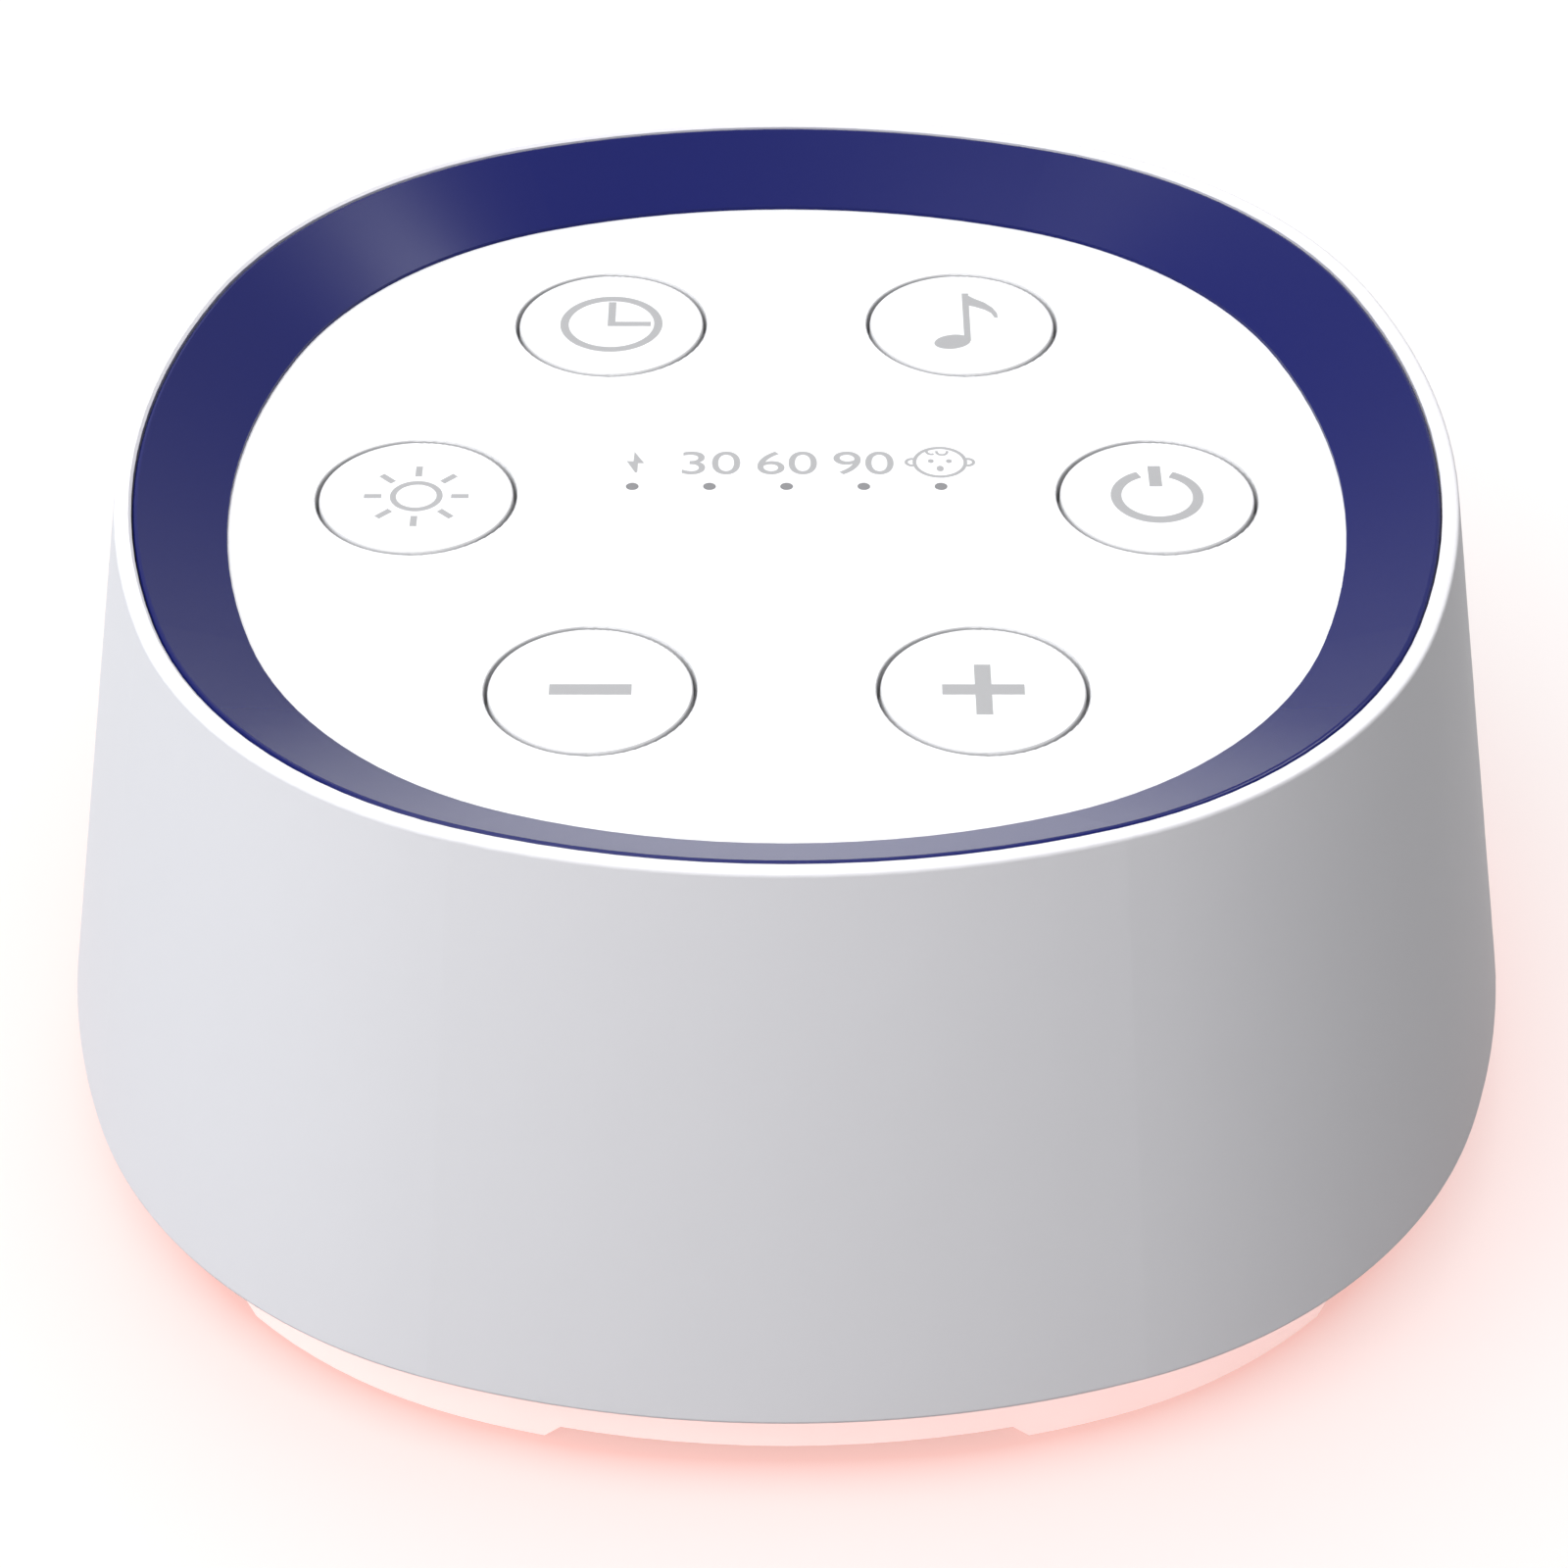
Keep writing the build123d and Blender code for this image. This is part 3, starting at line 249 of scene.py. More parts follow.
def moulded(name, colour, roughness, grain=0.25 * mm, depth=0.004 * mm, shade_gaps=False):
    finish = Finish(name)
    broad = finish.noise(drift_size)
    dark, pale = shade(colour, 1 - colour_drift), shade(colour, 1 + colour_drift)
    face_colour = finish.tint(broad, dark, pale)
    finish.set(
        # Where shade_gaps is set, shade is painted below the keypad's face.
        Base_Color=painted_gap_shade(finish, face_colour, colour) if shade_gaps else face_colour,
        Roughness=broad * roughness_drift + (roughness - roughness_drift / 2),
        Normal=finish.relief(finish.noise(grain), depth),
    )
    return finish


print("moulded plastic drifts over", round(drift_size / mm), "mm")

# %% [markdown]
# ## Metals and cloths
# The pieces inside are seen only when the machine is opened, but each still gets what its
# real surface shows. Metal and drawn wire are brushed along one axis. Cloth is a weave of
# two sets of threads.

# %% Brushed and woven finishes
def stretched(finish, size, along, stretch=12.0):
    """Noise drawn out along one axis, for brushing and drawn wire."""
    scale = [1 / size] * 3
    scale[along] /= stretch
    spread = finish.add("ShaderNodeMapping", None, {"Vector": finish.place(), "Scale": scale})
    values = {"Vector": spread, "Scale": 1.0, "Detail": 3.0}
    return finish.add("ShaderNodeTexNoise", None, values)


def metal(name, colour, roughness, along=0, size=0.12 * mm):
    """Brushed metal, whose strokes differ a little in shade, roughness and height."""
    finish = Finish(name)
    brushed = stretched(finish, size, along)
    stroke_shade, stroke_roughness, stroke_depth = 0.88, 0.14, 0.003 * mm
    finish.set(
        Metallic=1.0,
        Base_Color=finish.tint(brushed, shade(colour, stroke_shade), colour),
        Roughness=brushed * stroke_roughness + roughness,
        Normal=finish.relief(brushed, stroke_depth),
    )
    return finish


def woven(name, colour, pitch, roughness=0.85, depth=0.05 * mm):
    """A plain weave: two sets of bands, darker and lower between the threads."""
    finish = Finish(name)
    wave_turn = 20  # A wave texture turns by this many radians in a metre at a scale of 1
    hollow_shade = 0.45
    thread_wobble = 0.4
    threads = []
    for axis in "XY":
        settings = {"wave_type": "BANDS", "bands_direction": axis}
        scale = 2 * pi / (wave_turn * pitch)
        values = {"Vector": finish.place(), "Scale": scale, "Distortion": thread_wobble}
        threads.append(finish.add("ShaderNodeTexWave", settings, values, output="Fac"))
    weave = threads[0] * threads[1]
    finish.set(
        Base_Color=finish.tint(weave, shade(colour, hollow_shade), colour),
        Roughness=roughness,
        Normal=finish.relief(weave, depth),
    )
    return finish


print("families so far: moulded, metal, woven")

# %% [markdown]
# ## Paper, foam and circuit boards
# Paper, foam and sintered ferrite share one cloudy pulp, which is finer or coarser. A
# circuit board is green solder mask over copper tracks, which a square cell pattern lays
# out in blocks, with the tracks standing a little proud.

# %% Fibrous finishes and the circuit board
def fibrous(name, colour, roughness=0.8, size=0.6 * mm):
    finish = Finish(name)
    pulp = finish.noise(size, detail=6.0)
    dark_shade, pale_shade, pulp_depth = 0.7, 1.2, 0.03 * mm
    finish.set(
        Base_Color=finish.tint(pulp, shade(colour, dark_shade), shade(colour, pale_shade)),
        Roughness=roughness,
        Normal=finish.relief(pulp, pulp_depth),
    )
    return finish


def circuit_board():
    finish = Finish("circuit_board")
    cell_size = 2.2 * mm
    track_edge = 0.34
    track_height = 0.035 * mm
    values = {"Vector": finish.place(), "Scale": 1 / cell_size, "Randomness": 0.35}
    settings = {"distance": "CHEBYCHEV", "feature": "F1"}
    tracks = finish.add("ShaderNodeTexVoronoi", settings, values).maths("GREATER_THAN", track_edge)
    finish.set(
        Base_Color=finish.tint(tracks, linear(18, 92, 56), linear(38, 128, 74)),
        Roughness=0.28,
        Coat_Weight=0.4,
        Normal=finish.relief(tracks, track_height),
    )
    return finish


print("families: moulded, metal, woven, fibrous, circuit_board")

# %% [markdown]
# ## The lit ring
# The ring under the shell is a milky diffuser with a strip of pink lamps behind it. The
# lamps are close together, so it is lit evenly, with only a faint cloudiness. It gives
# light itself. The soft pink that it throws on the table is painted into the floor's colour.

# %% The glow ring's finish
def glow_diffuser():
    finish = Finish("glow_diffuser")
    cloud_size, cloud_shade = 9 * mm, 0.97
    cloud = finish.noise(cloud_size)
    pale = linear(255, 226, 222)
    finish.set(
        Base_Color=finish.tint(cloud, shade(pale, cloud_shade), pale),
        Roughness=0.42,
        Emission_Color=finish.tint(cloud, linear(255, 214, 208), linear(255, 224, 219)),
        Emission_Strength=0.66,
    )
    return finish


print("the lit ring has its own finish")

# %% [markdown]
# ## The navy ring
# The ring is gloss plastic in deep navy. Gloss parts from a mould have a very faint orange
# peel, which blurs their reflections a little.

# %% The navy ring's finish
def navy_gloss():
    finish = Finish("trim_navy")
    navy = linear(8, 18, 92)
    broad_size, navy_drift = 30 * mm, 0.04
    least_roughness, roughness_range = 0.23, 0.04
    peel_size, peel_depth = 1.4 * mm, 0.0012 * mm
    broad = finish.noise(broad_size)
    peel = finish.noise(peel_size)
    finish.set(
        Base_Color=finish.tint(broad, shade(navy, 1 - navy_drift), shade(navy, 1 + navy_drift)),
        Roughness=broad * roughness_range + least_roughness,
        Specular_IOR_Level=0.17,
        Normal=finish.relief(peel, peel_depth),
    )
    return finish


print("the navy ring has its own finish")

# %% [markdown]
# ## One finish for each slot
# The record names a material slot for each CAD node. One table maps each slot to its finish.

# %% Dress the CAD nodes
finishes = {
    "body_white": moulded("body_white", linear(243, 242, 246), 0.5),
    "trim_navy": navy_gloss(),
    # The panel and the keys get painted shade in the gaps round the keys.
    "panel_white": moulded(
        "panel_white", linear(250, 250, 252), 0.38, depth=0.002 * mm, shade_gaps=True
    ),
    "key_white": moulded("key_white", linear(250, 250, 252), 0.38, depth=0.002 * mm, shade_gaps=True),
    "plunger_white": moulded("plunger_white", linear(230, 230, 226), 0.4),
    # The clear light guide is painted grey: painted shade for the dark inside that shows through
    # it.
    "clear_plastic": moulded("clear_plastic", linear(132, 132, 135), 0.3, depth=0.001 * mm),
    "glow_diffuser": glow_diffuser(),
    "circuit_board": circuit_board(),
    "switch_black": moulded("switch_black", linear(46, 46, 50), 0.45),
    "led_package": moulded("led_package", linear(243, 232, 196), 0.3),
    "screw_steel": metal("screw_steel", linear(196, 198, 201), 0.28),
    "base_white": moulded("base_white", linear(231, 231, 232), 0.55),
    "foot_rubber": moulded(
        "foot_rubber", linear(96, 96, 98), 0.85, grain=0.5 * mm, depth=0.02 * mm
    ),
    "strip_film": moulded("strip_film", linear(238, 238, 236), 0.4),
    "chip_black": moulded("chip_black", linear(46, 46, 48), 0.6),
    "capacitor_can": metal("capacitor_can", linear(203, 204, 208), 0.25, along=2),
    "ferrite": fibrous("ferrite", linear(80, 80, 82), 0.7, size=0.3 * mm),
    "connector_ivory": moulded("connector_ivory", linear(231, 226, 212), 0.5),
    "socket_steel": metal("socket_steel", linear(206, 207, 210), 0.22, along=1),
    "holder_black": moulded("holder_black", linear(54, 54, 56), 0.55),
    "cell_sleeve": moulded("cell_sleeve", linear(60, 124, 188), 0.22, grain=2.0 * mm),
    "nickel": metal("nickel", linear(217, 216, 211), 0.2, along=2),
    "speaker_cloth": woven("speaker_cloth", linear(62, 62, 66), 0.45 * mm),
    "foam": fibrous("foam", linear(63, 63, 65), 0.95, size=0.35 * mm),
    "basket_steel": moulded(
        "basket_steel", linear(56, 56, 58), 0.4, grain=0.5 * mm, depth=0.01 * mm
    ),
    "surround_rubber": moulded(
        "surround_rubber", linear(48, 48, 48), 0.75, grain=0.6 * mm, depth=0.01 * mm
    ),
    "cone_paper": fibrous("cone_paper", linear(66, 66, 68)),
    "spider_cloth": woven("spider_cloth", linear(203, 172, 113), 0.5 * mm),
    "former_paper": fibrous("former_paper", linear(195, 162, 104), 0.35, size=1.2 * mm),
    "copper_wire": metal("copper_wire", linear(220, 155, 108), 0.3, along=0, size=0.2 * mm),
    "plated_steel": metal("plated_steel", linear(200, 200, 196), 0.3),
    "tag_board": fibrous("tag_board", linear(170, 137, 97), 0.6),
    "lead_red": moulded("lead_red", linear(203, 48, 48), 0.45),
    "lead_black": moulded("lead_black", linear(48, 48, 48), 0.45),
    "lead_white": moulded("lead_white", linear(231, 231, 231), 0.45),
}
for name, node in nodes.items():
    for slot in node.material_slots:
        slot.material = finishes[slot.material.name].material
print(len(finishes), "finishes on", len(nodes), "nodes")

# %% [markdown]
# ## The cone's rubber surround
# The surround is clamped to the basket at its rim and glued to the cone, so it bends when
# the cone moves. The ring is made as twelve sectors, each swept about its own middle
# radius, and neighbours meet along their shared edges.

# %% The surround's section
roll_steps = 14
rubber = 0.3 * mm
inner_flat = 1.2 * mm
surround_low, surround_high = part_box("speaker_surround")
cone_low, cone_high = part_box("speaker_cone")
cone_radius = (cone_high.x - cone_low.x) / 2
surround_radius = (surround_high.x - surround_low.x) / 2
surround_top = surround_high.z
roll_radius = surround_high.z - surround_low.z
roll_middle = cone_radius + roll_radius


def half_roll(radius, first, last):
    """Points of the roll's lower half circle, from one angle to another."""
    points = []
    for step in range(roll_steps + 1):
        angle = radians(first + (last - first) * step / roll_steps)
        points.append((roll_middle + radius * cos(angle), surround_top + radius * sin(angle)))
    return points


shoulder = degrees(asin(rubber / roll_radius))
surround_profile = [
    (cone_radius - inner_flat, surround_top),
    (cone_radius - inner_flat, surround_top - rubber),
    *half_roll(roll_radius, 180 + shoulder, 360 - shoulder),
    (surround_radius, surround_top - rubber),
    (surround_radius, surround_top),
    *half_roll(roll_radius - rubber, 360, 180),
]
print("the roll is", round(2 * roll_radius / mm, 2), "mm wide")

# %% [markdown]
# The section is swept round one sector's angle and closed at both ends.

# %% Make the surround in sectors
sector_count = 12
sector_steps = 8
sharp_edge = radians(35)


def swept_section(middle_angle, half_angle):
    """The section's points at each step of the sweep, and the faces that join them."""
    steps = range(sector_steps + 1)
    turns = [middle_angle + half_angle * (2 * step / sector_steps - 1) for step in steps]
    points = [(r * cos(turn), r * sin(turn), z) for turn in turns for r, z in surround_profile]
    row = len(surround_profile)
    last_row = sector_steps * row
    faces = [tuple(range(row)), tuple(range(last_row, last_row + row))[::-1]]
    for first in range(0, last_row, row):
        for i in range(row):
            k = (i + 1) % row
            faces.append((first + k, first + i, first + row + i, first + row + k))
    return points, faces


def surround_sector(number):
    half = pi / sector_count
    middle_angle = 2 * half * number
    points, faces = swept_section(middle_angle, half)
    mesh = bpy.data.meshes.new(f"surround_sector_{number + 1}")
    mesh.from_pydata(points, [], faces)
    mesh.materials.append(finishes["surround_rubber"].material)
    mesh.shade_smooth()
    mesh.set_sharp_from_angle(angle=sharp_edge)
    sector = new_object(mesh.name, mesh)
    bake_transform(sector)
    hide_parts("speaker_surround")


for number in range(sector_count):
    surround_sector(number)
print(sector_count, "sectors of", len(surround_profile), "points each way round the section")

# %% [markdown]
# ## Printed icons
# The icons are pad-printed in grey ink, a layer far thinner than the key. Each one is drawn
# as a few lines in millimetres about the middle of its key. A line's own radius is half its
# width, and an outline whose radius is nought is filled. One Geometry Nodes tree turns the
# lines to ribbons, fills the outlines, flattens both to the ink's thickness and merges them.
# Its sizes are named inputs, so that the same tree serves every icon.

# %% A tree with named inputs
def new_ink_tree():
    tree = bpy.data.node_groups.new("printed_ink", "GeometryNodeTree")
    tree.is_modifier = True
    tree.interface.new_socket("Lines", in_out="INPUT", socket_type="NodeSocketGeometry")
    tree.interface.new_socket("Ink Thickness", in_out="INPUT", socket_type="NodeSocketFloat")
    tree.interface.new_socket("Ink", in_out="INPUT", socket_type="NodeSocketMaterial")
    tree.interface.new_socket("Print", in_out="OUTPUT", socket_type="NodeSocketGeometry")
    return tree


printed_ink = new_ink_tree()


def ink_node(kind, inputs=None, **settings):
    """Adds one node with its settings, fills or links its inputs, and gives its outputs."""
    node = printed_ink.nodes.new(kind)
    for name, setting in settings.items():
        setattr(node, name, setting)
    for name, value in (inputs or {}).items():
        for source in value if isinstance(value, list) else [value]:
            if isinstance(source, bpy.types.NodeSocket):
                printed_ink.links.new(source, node.inputs[name])
            else:
                node.inputs[name].default_value = source
    return node.outputs


print("the ink tree's sockets:", [item.name for item in printed_ink.interface.items_tree])

# %% [markdown]
# A line is swept with a square two units wide. Its radius scales the square, so that it
# comes out as wide as the line. An outline is filled, raised by a millimetre and closed
# beneath by its own face, turned over.

# %% Ribbons and patches
thinnest_line = 0.001
weld_distance = 0.0001


def compared(value, limit):
    values = {"A": value, "B": limit}
    return ink_node("FunctionNodeCompare", values, operation="GREATER_THAN")[0]


def ribbons(lines, radius):
    upright = ink_node("GeometryNodeSetCurveNormal", {"Curve": lines}, mode="Z_UP")[0]
    section = ink_node("GeometryNodeCurvePrimitiveQuadrilateral", {"Width": 2.0, "Height": 2.0})[0]
    sweep = {"Curve": upright, "Profile Curve": section, "Scale": radius, "Fill Caps": True}
    return ink_node("GeometryNodeCurveToMesh", sweep)[0]


def patches(outlines):
    index = ink_node("GeometryNodeInputIndex")[0]
    each = {"Curve": outlines, "Group ID": index}
    filled = ink_node("GeometryNodeFillCurve", each, mode="NGONS")[0]
    lift = {"Mesh": filled, "Individual": False, "Offset Scale": 1.0}
    raised = ink_node("GeometryNodeExtrudeMesh", lift)[0]
    base = ink_node("GeometryNodeFlipFaces", {"Mesh": filled})[0]
    patch = ink_node("GeometryNodeJoinGeometry", {"Geometry": [base, raised]})[0]
    weld = {"Geometry": patch, "Distance": weld_distance}
    return ink_node("GeometryNodeMergeByDistance", weld)[0]


def drawn_shapes(drawing):
    """The lines as ribbons and the outlines as patches, together."""
    radius = ink_node("GeometryNodeInputRadius")[0]
    is_line = compared(radius, thinnest_line)
    choice = {"Geometry": drawing, "Selection": is_line}
    lines, outlines = ink_node("GeometryNodeSeparateGeometry", choice, domain="CURVE")
    ribbon_mesh = ribbons(lines, radius)
    both = [patches(outlines), ribbon_mesh]
    return ink_node("GeometryNodeJoinGeometry", {"Geometry": both})[0]


print("lines wider than", 2 * thinnest_line, "mm become ribbons, and the rest are filled")

# %% [markdown]
# Then each point goes to the foot or the top of the ink, and sideways onto a fine grid, so
# that edges which should meet do meet. A union of the shapes with themselves leaves one skin.

# %% Flat, merged ink
ink_thickness = 0.02
ink_grid = 1 / 512


def flattened(shapes, thickness):
    spot = ink_node("GeometryNodeInputPosition")[0]
    axes = ink_node("ShaderNodeSeparateXYZ", {0: spot})
    upper = compared(axes["Z"], weld_distance)
    level = ink_node("ShaderNodeMath", {0: upper, 1: thickness}, operation="MULTIPLY")[0]
    sides = [
        ink_node("ShaderNodeMath", {0: axes[axis], 1: ink_grid}, operation="SNAP")[0]
        for axis in "XY"
    ]
    flat_spot = ink_node("ShaderNodeCombineXYZ", {"X": sides[0], "Y": sides[1], "Z": level})[0]
    move = {"Geometry": shapes, "Position": flat_spot}
    return ink_node("GeometryNodeSetPosition", move)[0]


given = ink_node("NodeGroupInput")
flat_shapes = flattened(drawn_shapes(given["Lines"]), given["Ink Thickness"])
merge = {"Mesh 2": flat_shapes, "Self Intersection": True}
merged = ink_node("GeometryNodeMeshBoolean", merge, operation="UNION", solver="EXACT")[0]
inked = ink_node("GeometryNodeSetMaterial", {"Geometry": merged, "Material": given["Ink"]})[0]
real = ink_node("GeometryNodeRealizeInstances", {"Geometry": inked})[0]
ink_node("NodeGroupOutput", {"Print": real})
print("the ink tree has", len(printed_ink.nodes), "nodes")

# %% [markdown]
# ## Lines for the icons
# Short helpers draw everything: a bar between two points, an arc about a centre, and a
# filled outline or ellipse. Angles are in degrees, counter-clockwise from the right.

# %% Bars, arcs and outlines
arc_step = 6


def bar(start, end, width):
    return {"points": [start, end], "radii": [width / 2] * 2, "closed": False}


def arc(centre, radius, width, start=0, end=360):
    closed = end - start == 360
    count = max(3, round((end - start) / arc_step))
    angles = [radians(start + (end - start) * i / count) for i in range(count + (not closed))]
    points = [(centre[0] + radius * cos(a), centre[1] + radius * sin(a)) for a in angles]
    return {"points": points, "radii": [width / 2] * len(points), "closed": closed}


def outline(points):
    return {"points": points, "radii": [0.0] * len(points), "closed": True}


def ellipse(centre, long_radius, short_radius, tilt):
    points = []
    for i in range(360 // arc_step):
        along = long_radius * cos(radians(arc_step * i))
        across = short_radius * sin(radians(arc_step * i))
        turned = Vector((along, across)).to_3d()
        turned.rotate(Matrix.Rotation(radians(tilt), 3, "Z"))
        points.append((centre[0] + turned.x, centre[1] + turned.y))
    return outline(points)


print("an arc has a point every", arc_step, "degrees")

# %% [markdown]
# A drawing becomes a curve object with the ink tree on it. Its result is kept as a plain
# mesh, moved to its key's middle on the keypad's face, and the curve object is deleted.

# %% Printing
ink = moulded("print_grey", linear(173, 173, 175), 0.55, depth=0.001 * mm)


def plain_mesh(drawing):
    """The mesh that a drawing's object comes out as. The object itself is deleted."""
    evaluated = drawing.evaluated_get(bpy.context.evaluated_depsgraph_get())
    mesh = bpy.data.meshes.new_from_object(evaluated)
    bpy.data.objects.remove(drawing)
    return mesh


def set_inputs(modifier, values):
    for item in modifier.node_group.interface.items_tree:
        if item.in_out == "INPUT" and item.name in values:
            modifier[item.identifier] = values[item.name]


def print_lines(name, lines, centre, body):
    """Makes one icon's mesh on the panel's face, and lets it ride on its body."""
    curve = bpy.data.curves.new(name, "CURVE")
    curve.dimensions = "3D"
    for line in lines:
        spline = curve.splines.new("POLY")
        spline.points.add(len(line["points"]) - 1)
        for point, (x, y), radius in zip(spline.points, line["points"], line["radii"]):
            point.co = (x, y, 0, 1)
            point.radius = radius
        spline.use_cyclic_u = line["closed"]
    drawing = new_object(name + "_lines", curve)
    modifier = drawing.modifiers.new("ink", "NODES")
    modifier.node_group = printed_ink
    set_inputs(modifier, {"Ink Thickness": ink_thickness, "Ink": ink.material})
    mesh = plain_mesh(drawing)
    mesh.transform(Matrix.Translation((*centre, panel_top)) @ Matrix.Scale(mm, 4))
    mesh.shade_flat()
    piece = new_object(name, mesh)
    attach(piece, body)
    print(name, len(mesh.polygons), "faces")


def key_centre(key):
    low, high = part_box(key)
    return ((low.x + high.x) / 2, (low.y + high.y) / 2)


power_middle = [round(side / mm, 2) for side in key_centre("power_key")]
print("the power key's middle is at", power_middle, "mm")

# %% [markdown]
# ## The six key icons
# A clock for the timer, a sun for the lamp, a note for the sounds, and the usual signs for
# power, louder and softer.

# %% Draw the key icons
def sun_icon():
    ray_start, ray_end, ray_width = 2.6, 3.9, 0.5
    rays = []
    for i in range(8):
        angle = radians(45 * i)
        start = (ray_start * cos(angle), ray_start * sin(angle))
        end = (ray_end * cos(angle), ray_end * sin(angle))
        rays.append(bar(start, end, ray_width))
    return [arc((0, 0), 1.74, 0.45), *rays]


def note_icon():
    head = ellipse((-0.8, -2.6), 1.45, 0.98, 16)
    stem = bar((0.4, -2.45), (0.4, 4.5), 0.52)
    flag_top = [(0.62, 4.2), (1.15, 3.7), (1.9, 3.15), (2.5, 2.4), (2.85, 1.55), (2.88, 0.9)]
    flag_foot = [(2.62, 0.95), (2.4, 1.6), (1.9, 2.1), (1.2, 2.5), (0.4, 2.85), (0.4, 4.4)]
    return [head, stem, outline(flag_top + flag_foot)]


def clock_icon():
    return [arc((0, 0), 3.7, 0.66), bar((0, -0.3), (0, 3.2), 0.6), bar((0, 0), (3.1, 0), 0.6)]


icons = {
    "timer_key": clock_icon(),
    "light_key": sun_icon(),
    "sound_key": note_icon(),
    "power_key": [arc((0, 0), 3.06, 0.8, 113, 427), bar((0, 1.3), (0, 3.96), 0.95)],
    "volume_up_key": [bar((-2.9, 0), (2.9, 0), 1.17), bar((0, -2.9), (0, 2.9), 1.17)],
    "volume_down_key": [bar((-2.9, 0), (2.9, 0), 1.2)],
}
for key, lines in icons.items():
    print_lines(key + "_icon", lines, key_centre(key), key)

# %% [markdown]
# ## The marks over the indicator dots
# Five dots show charging, a timer of 30, 60 or 90 minutes, and a night mode for a child's
# room. The bolt and the child's face are simple signs. The numbers are set in Blender's own
# plain typeface, widened a little, and made a mesh before their place is applied.

# %% Draw the marks
dot_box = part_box("light_guide")
dot_pitch = 5.77
dot_y = (dot_box[0].y + dot_box[1].y) / 2
mark_y = 4.5 * mm
digit_height = 3.15
digit_stretch = 1.12
digit_share = 0.729  # A digit's height as a share of the text's size
text_size = digit_height / digit_share


def bolt():
    upper_tooth = [(0.34, -0.13), (0.8, -0.11), (0.05, 1.4)]
    lower_tooth = [(0.0, 0.11), (-0.5, 0.14), (0.15, -1.36), (0.33, -1.3)]
    return [outline(upper_tooth + lower_tooth)]


def child_face():
    head = arc((0, 0), 1.92, 0.28)
    mouth = ellipse((0, -0.85), 0.27, 0.36, 0)
    face = [head, mouth]
    for side in (-1, 1):
        facing = 90 - 90 * side
        ear = arc((side * 2.1, 0), 0.44, 0.24, facing - 112, facing + 112)
        eye = ellipse((side * 0.68, 0.15), 0.22, 0.24, 0)
        face += [ear, eye]
    curls = [arc((0.18, 1.38), 0.4, 0.2, 165, 375), arc((-0.62, 1.42), 0.36, 0.2, 150, 300)]
    return face + curls


def print_number(name, text, centre):
    curve = bpy.data.curves.new(name, "FONT")
    curve.body = text
    curve.size = text_size
    curve.align_x = "CENTER"
    curve.extrude = ink_thickness / 2
    curve.resolution_u = 12
    mesh = plain_mesh(new_object(name + "_text", curve))
    stretch = Matrix.Diagonal((digit_stretch * mm, mm, mm, 1))
    drop = Matrix.Translation((0, -digit_height / 2, ink_thickness / 2))
    mesh.transform(Matrix.Translation((*centre, panel_top)) @ stretch @ drop)
    mesh.shade_flat()
    mesh.materials.clear()
    mesh.materials.append(ink.material)
    piece = new_object(name, mesh)
    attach(piece, "housing")
    print(name, "is", round(piece.dimensions.x / mm, 2), "mm wide")


print_lines("charge_mark", bolt(), (-2 * dot_pitch * mm, mark_y), "housing")
print_lines("night_mark", child_face(), (2 * dot_pitch * mm, mark_y), "housing")
for step, minutes in ((-1, "30"), (0, "60"), (1, "90")):
    print_number("minutes_" + minutes, minutes, (step * dot_pitch * mm, mark_y))
print("the marks lie", round((mark_y - dot_y) / mm, 2), "mm behind the dots")

# %% [markdown]
# ## How the glow falls off
# The ring's pink light on the floor is painted into the floor's colour, with painted shade
# near its foot. The painted glow falls off with the distance from the ring, measured along
# its own rounded square: a square whose corners are rounded is where the powers of x and y
# add up to one. A power of two would be a circle, and this one is a little more.

# %% The glow's fall
ring_half_width = 52.3 * mm
corner_power = 2.32


def glow_falloff(finish, reach):
    """Falls from one at the ring's foot towards nought over this reach."""
    x = finish.add("ShaderNodeSeparateXYZ", None, {"Vector": finish.place()}, output="X")
    powers = []
    for side in (x, x.sibling("Y")):
        share = side.maths("ABSOLUTE") * (1 / ring_half_width)
        powers.append(share.maths("POWER", corner_power))
    ring_share = (powers[0] + powers[1]).maths("POWER", 1 / corner_power)
    beyond = (ring_share - 1).maths("MAXIMUM", 0) * (-ring_half_width / reach)
    return beyond.maths("EXPONENT")


print("the glow starts from a ring", round(2 * ring_half_width / mm, 1), "mm across")

# %% [markdown]
# ## The floor
# The machine stands on a plain white floor. Light that bounces off it comes from a mid grey,
# as when a studio hangs a darker cloth, so that the sides of the body keep their shading.
# What is seen of it, directly or in a reflection, is white, and part of that is its own
# light, which keeps it even to the horizon. Near the machine more of it is plain white that
# takes the lamps' light and shade. The ring's pink glow is painted into its colour, with a
# short and a long reach. The floor is clear from beneath, so that the underside can be looked at.

# %% The floor's finish
near_reach, near_glow = 2 * mm, 0.18
far_reach, far_glow = 22 * mm, 0.22
red_loss, blue_loss = 0.12, 1.12
shaded_reach, shaded_share = 200 * mm, 0.3
open_floor = 1.06
bounce_grey = (0.28, 0.28, 0.285, 1.0)


def is_seen(shading):
    """One where a ray comes from the camera, a reflection or a clear piece, else nought."""
    camera_ray = shading.add("ShaderNodeLightPath", output="Is Camera Ray")
    mirrored_ray = camera_ray.sibling("Is Glossy Ray")
    clear_ray = camera_ray.sibling("Is Transmission Ray")
    return shading.add("ShaderNodeClamp", None, {"Value": camera_ray + mirrored_ray + clear_ray})


def mixed(shading, factor, first, second):
    return shading.add("ShaderNodeMixShader", None, {0: factor, 1: first, 2: second})


floor_finish = Finish("floor")
floor_finish.tree.nodes.remove(floor_finish.shader)
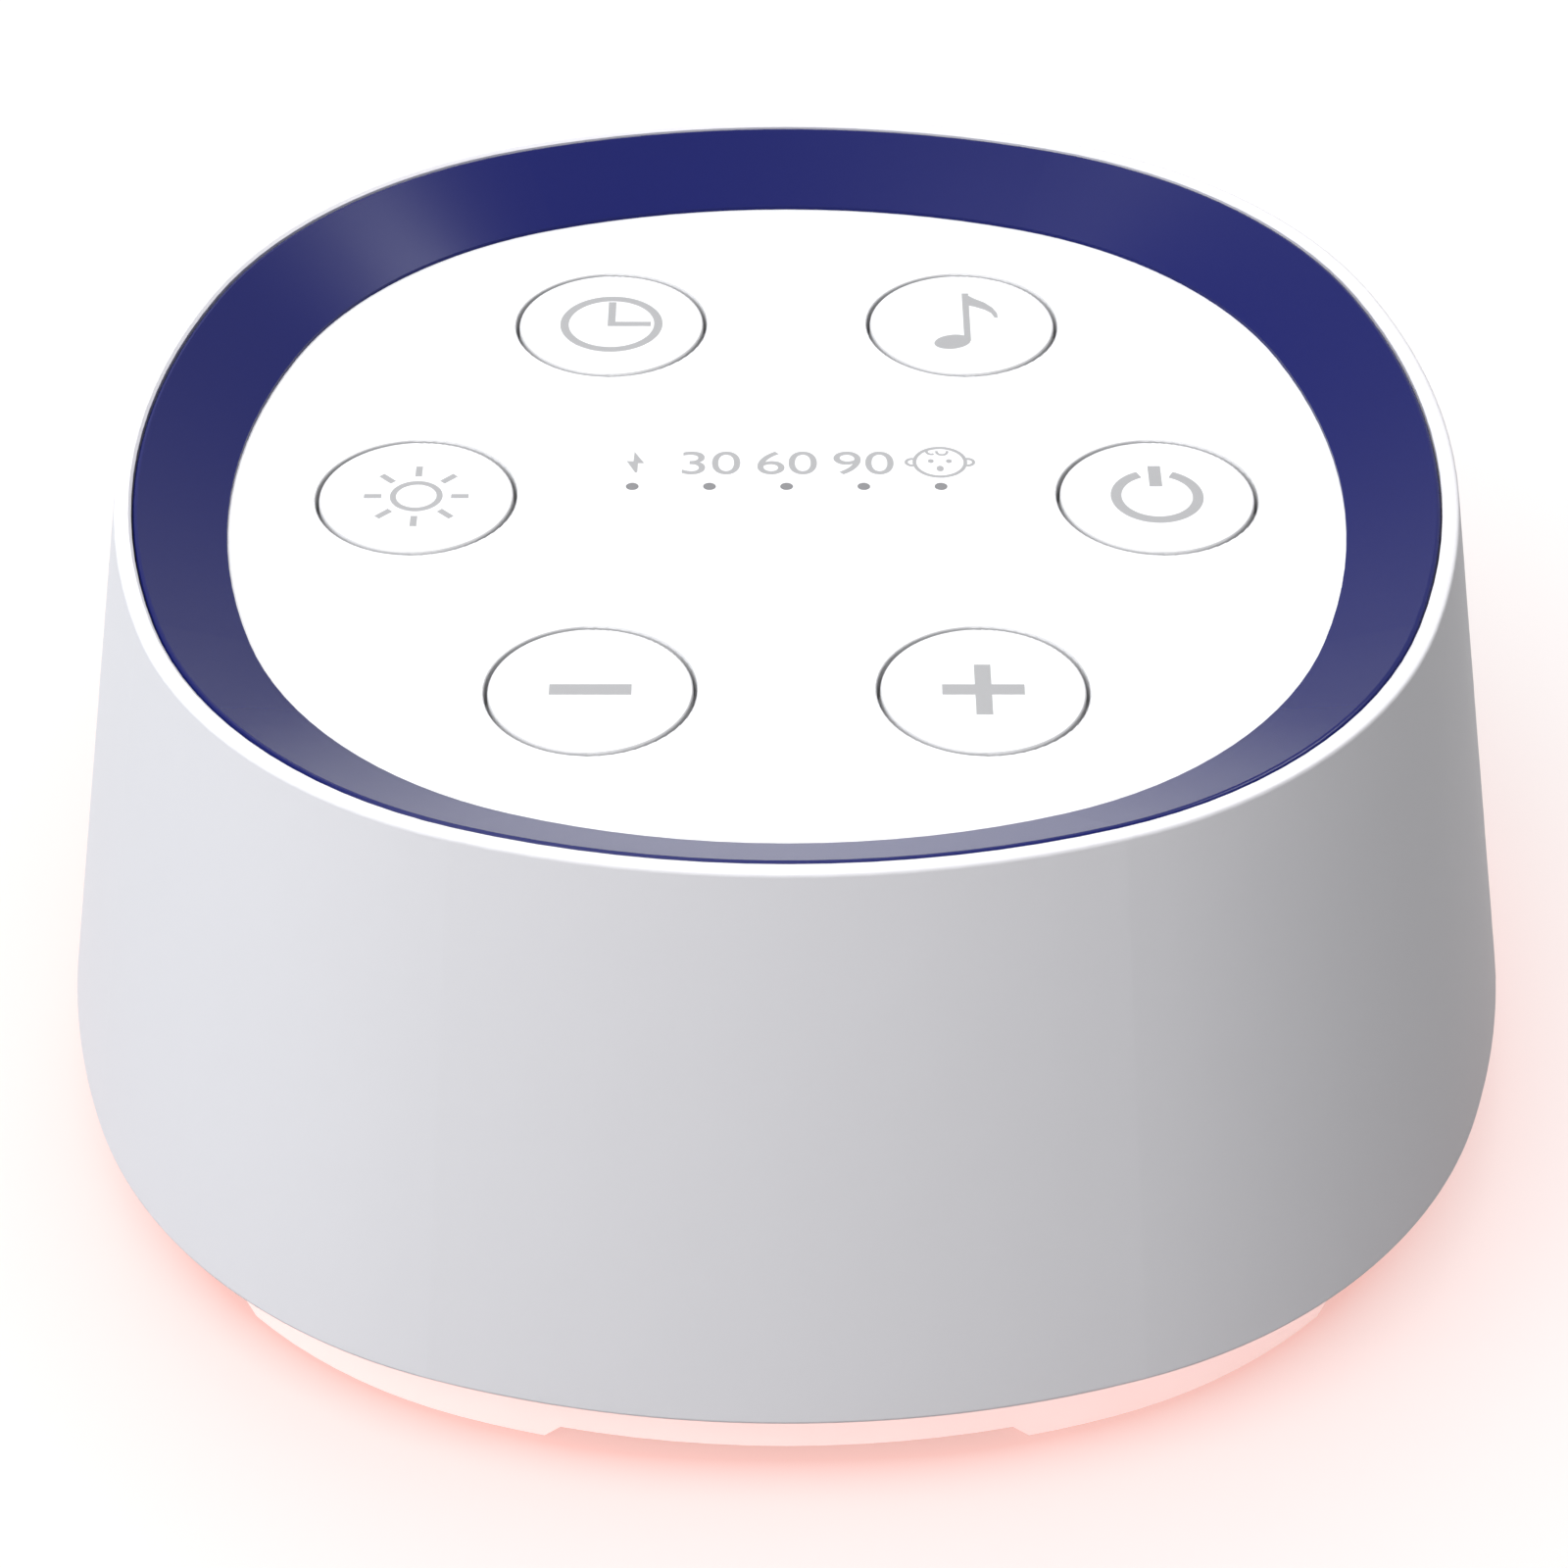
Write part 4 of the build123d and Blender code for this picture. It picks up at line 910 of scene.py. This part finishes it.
# The ring's pink light, and the shade near the machine's foot, are painted into the floor's
# colour: green and blue fall most.
painted_glow = glow_falloff(floor_finish, near_reach) * near_glow
painted_glow = painted_glow + glow_falloff(floor_finish, far_reach) * far_glow
painted_glow_channels = {"Red": 1 - painted_glow * red_loss, "Green": 1 - painted_glow, "Blue": 1 - painted_glow * blue_loss}
painted_glow_colour = floor_finish.add("ShaderNodeCombineColor", None, painted_glow_channels)
lit = floor_finish.add("ShaderNodeBsdfDiffuse", None, {"Color": painted_glow_colour})
own = floor_finish.add("ShaderNodeEmission", None, {"Color": painted_glow_colour, "Strength": open_floor})
own_share = 1 - glow_falloff(floor_finish, shaded_reach) * shaded_share
seen_floor = mixed(floor_finish, own_share, lit, own)
bounce = floor_finish.add("ShaderNodeBsdfDiffuse", None, {"Color": bounce_grey})
whole_floor = mixed(floor_finish, is_seen(floor_finish), bounce, seen_floor)
beneath = floor_finish.add("ShaderNodeNewGeometry", output="Backfacing")
clear = floor_finish.add("ShaderNodeBsdfTransparent")
one_sided = mixed(floor_finish, beneath, whole_floor, clear)
floor_finish.feed(floor_finish.tree.nodes["Material Output"].inputs["Surface"], one_sided)
print("the floor's finish has", len(floor_finish.tree.nodes), "nodes")

# %% [markdown]
# The floor itself is one square face, wide enough to fill every view.

# %% Floor
floor_reach = 1.5
corners = [(-floor_reach, -floor_reach, 0), (floor_reach, -floor_reach, 0)]
corners += [(floor_reach, floor_reach, 0), (-floor_reach, floor_reach, 0)]
floor_mesh = bpy.data.meshes.new("floor")
floor_mesh.from_pydata(corners, [], [(0, 1, 2, 3)])
floor_mesh.materials.append(floor_finish.material)
floor = new_object("floor", floor_mesh)
print("the floor is", 2 * floor_reach, "m wide")

# %% [markdown]
# ## Studio light
# The key light is a broad softbox above the front left. It makes the upward faces white and
# shades the sides from pale on the left to grey on the right. A low one on the left lifts
# that side, and a weaker one above the back evens the top. A small one high on the right
# gives the navy ring its soft patch of gloss, and sheds no light on anything matt.

# %% Lamps
lamp_aim = Vector((0, 0, 30 * mm))


def softbox(name, direction, distance, size, power, colour=(1, 1, 1)):
    """A rectangular lamp at this azimuth and elevation, which shines at the machine."""
    azimuth, elevation = radians(direction[0]), radians(direction[1])
    flat = cos(elevation)
    away = Vector((cos(azimuth) * flat, sin(azimuth) * flat, sin(elevation)))
    data = bpy.data.lights.new(name, "AREA")
    data.shape = "RECTANGLE"
    data.size, data.size_y = size
    data.energy = power
    data.color = colour
    lamp = new_object(name, data)
    lamp.location = lamp_aim + away * distance
    lamp.rotation_euler = away.to_track_quat("Z", "Y").to_euler()
    return lamp


cool_white = (0.72, 0.86, 1.0)
lamps = [
    softbox("key_light", (232, 60), 0.9, (0.8, 0.8), 8.9),
    softbox("left_fill", (180, 14), 0.9, (0.6, 0.4), 1.05, cool_white),
    softbox("back_top", (100, 60), 0.9, (0.5, 0.5), 2.7),
]
right_gloss = softbox("right_gloss", (25, 54), 0.8, (0.2, 0.26), 2.9)
right_gloss.visible_diffuse = False
print(len(lamps), "lamps light the machine, and one shines in the ring")

# %% [markdown]
# ## The world
# A weak bluish dome lights the machine from all round. Where the world is seen, directly or
# in a reflection, it is plain white instead.

# %% World
dome_colour = (0.97, 0.98, 1.0, 1.0)
dome_strength = 0.12

world = bpy.data.worlds.new("studio")
scene.world = world
world.use_nodes = True
studio = Shading(world.node_tree)
dome = world.node_tree.nodes["Background"]
studio.feed(dome.inputs["Color"], dome_colour)
studio.feed(dome.inputs["Strength"], dome_strength)
white = studio.add("ShaderNodeBackground", None, {"Color": (1, 1, 1, 1), "Strength": 1.0})
both = mixed(studio, is_seen(studio), Field(studio, dome.outputs[0]), white)
studio.feed(world.node_tree.nodes["World Output"].inputs["Surface"], both)
print("the dome's strength is", dome_strength)
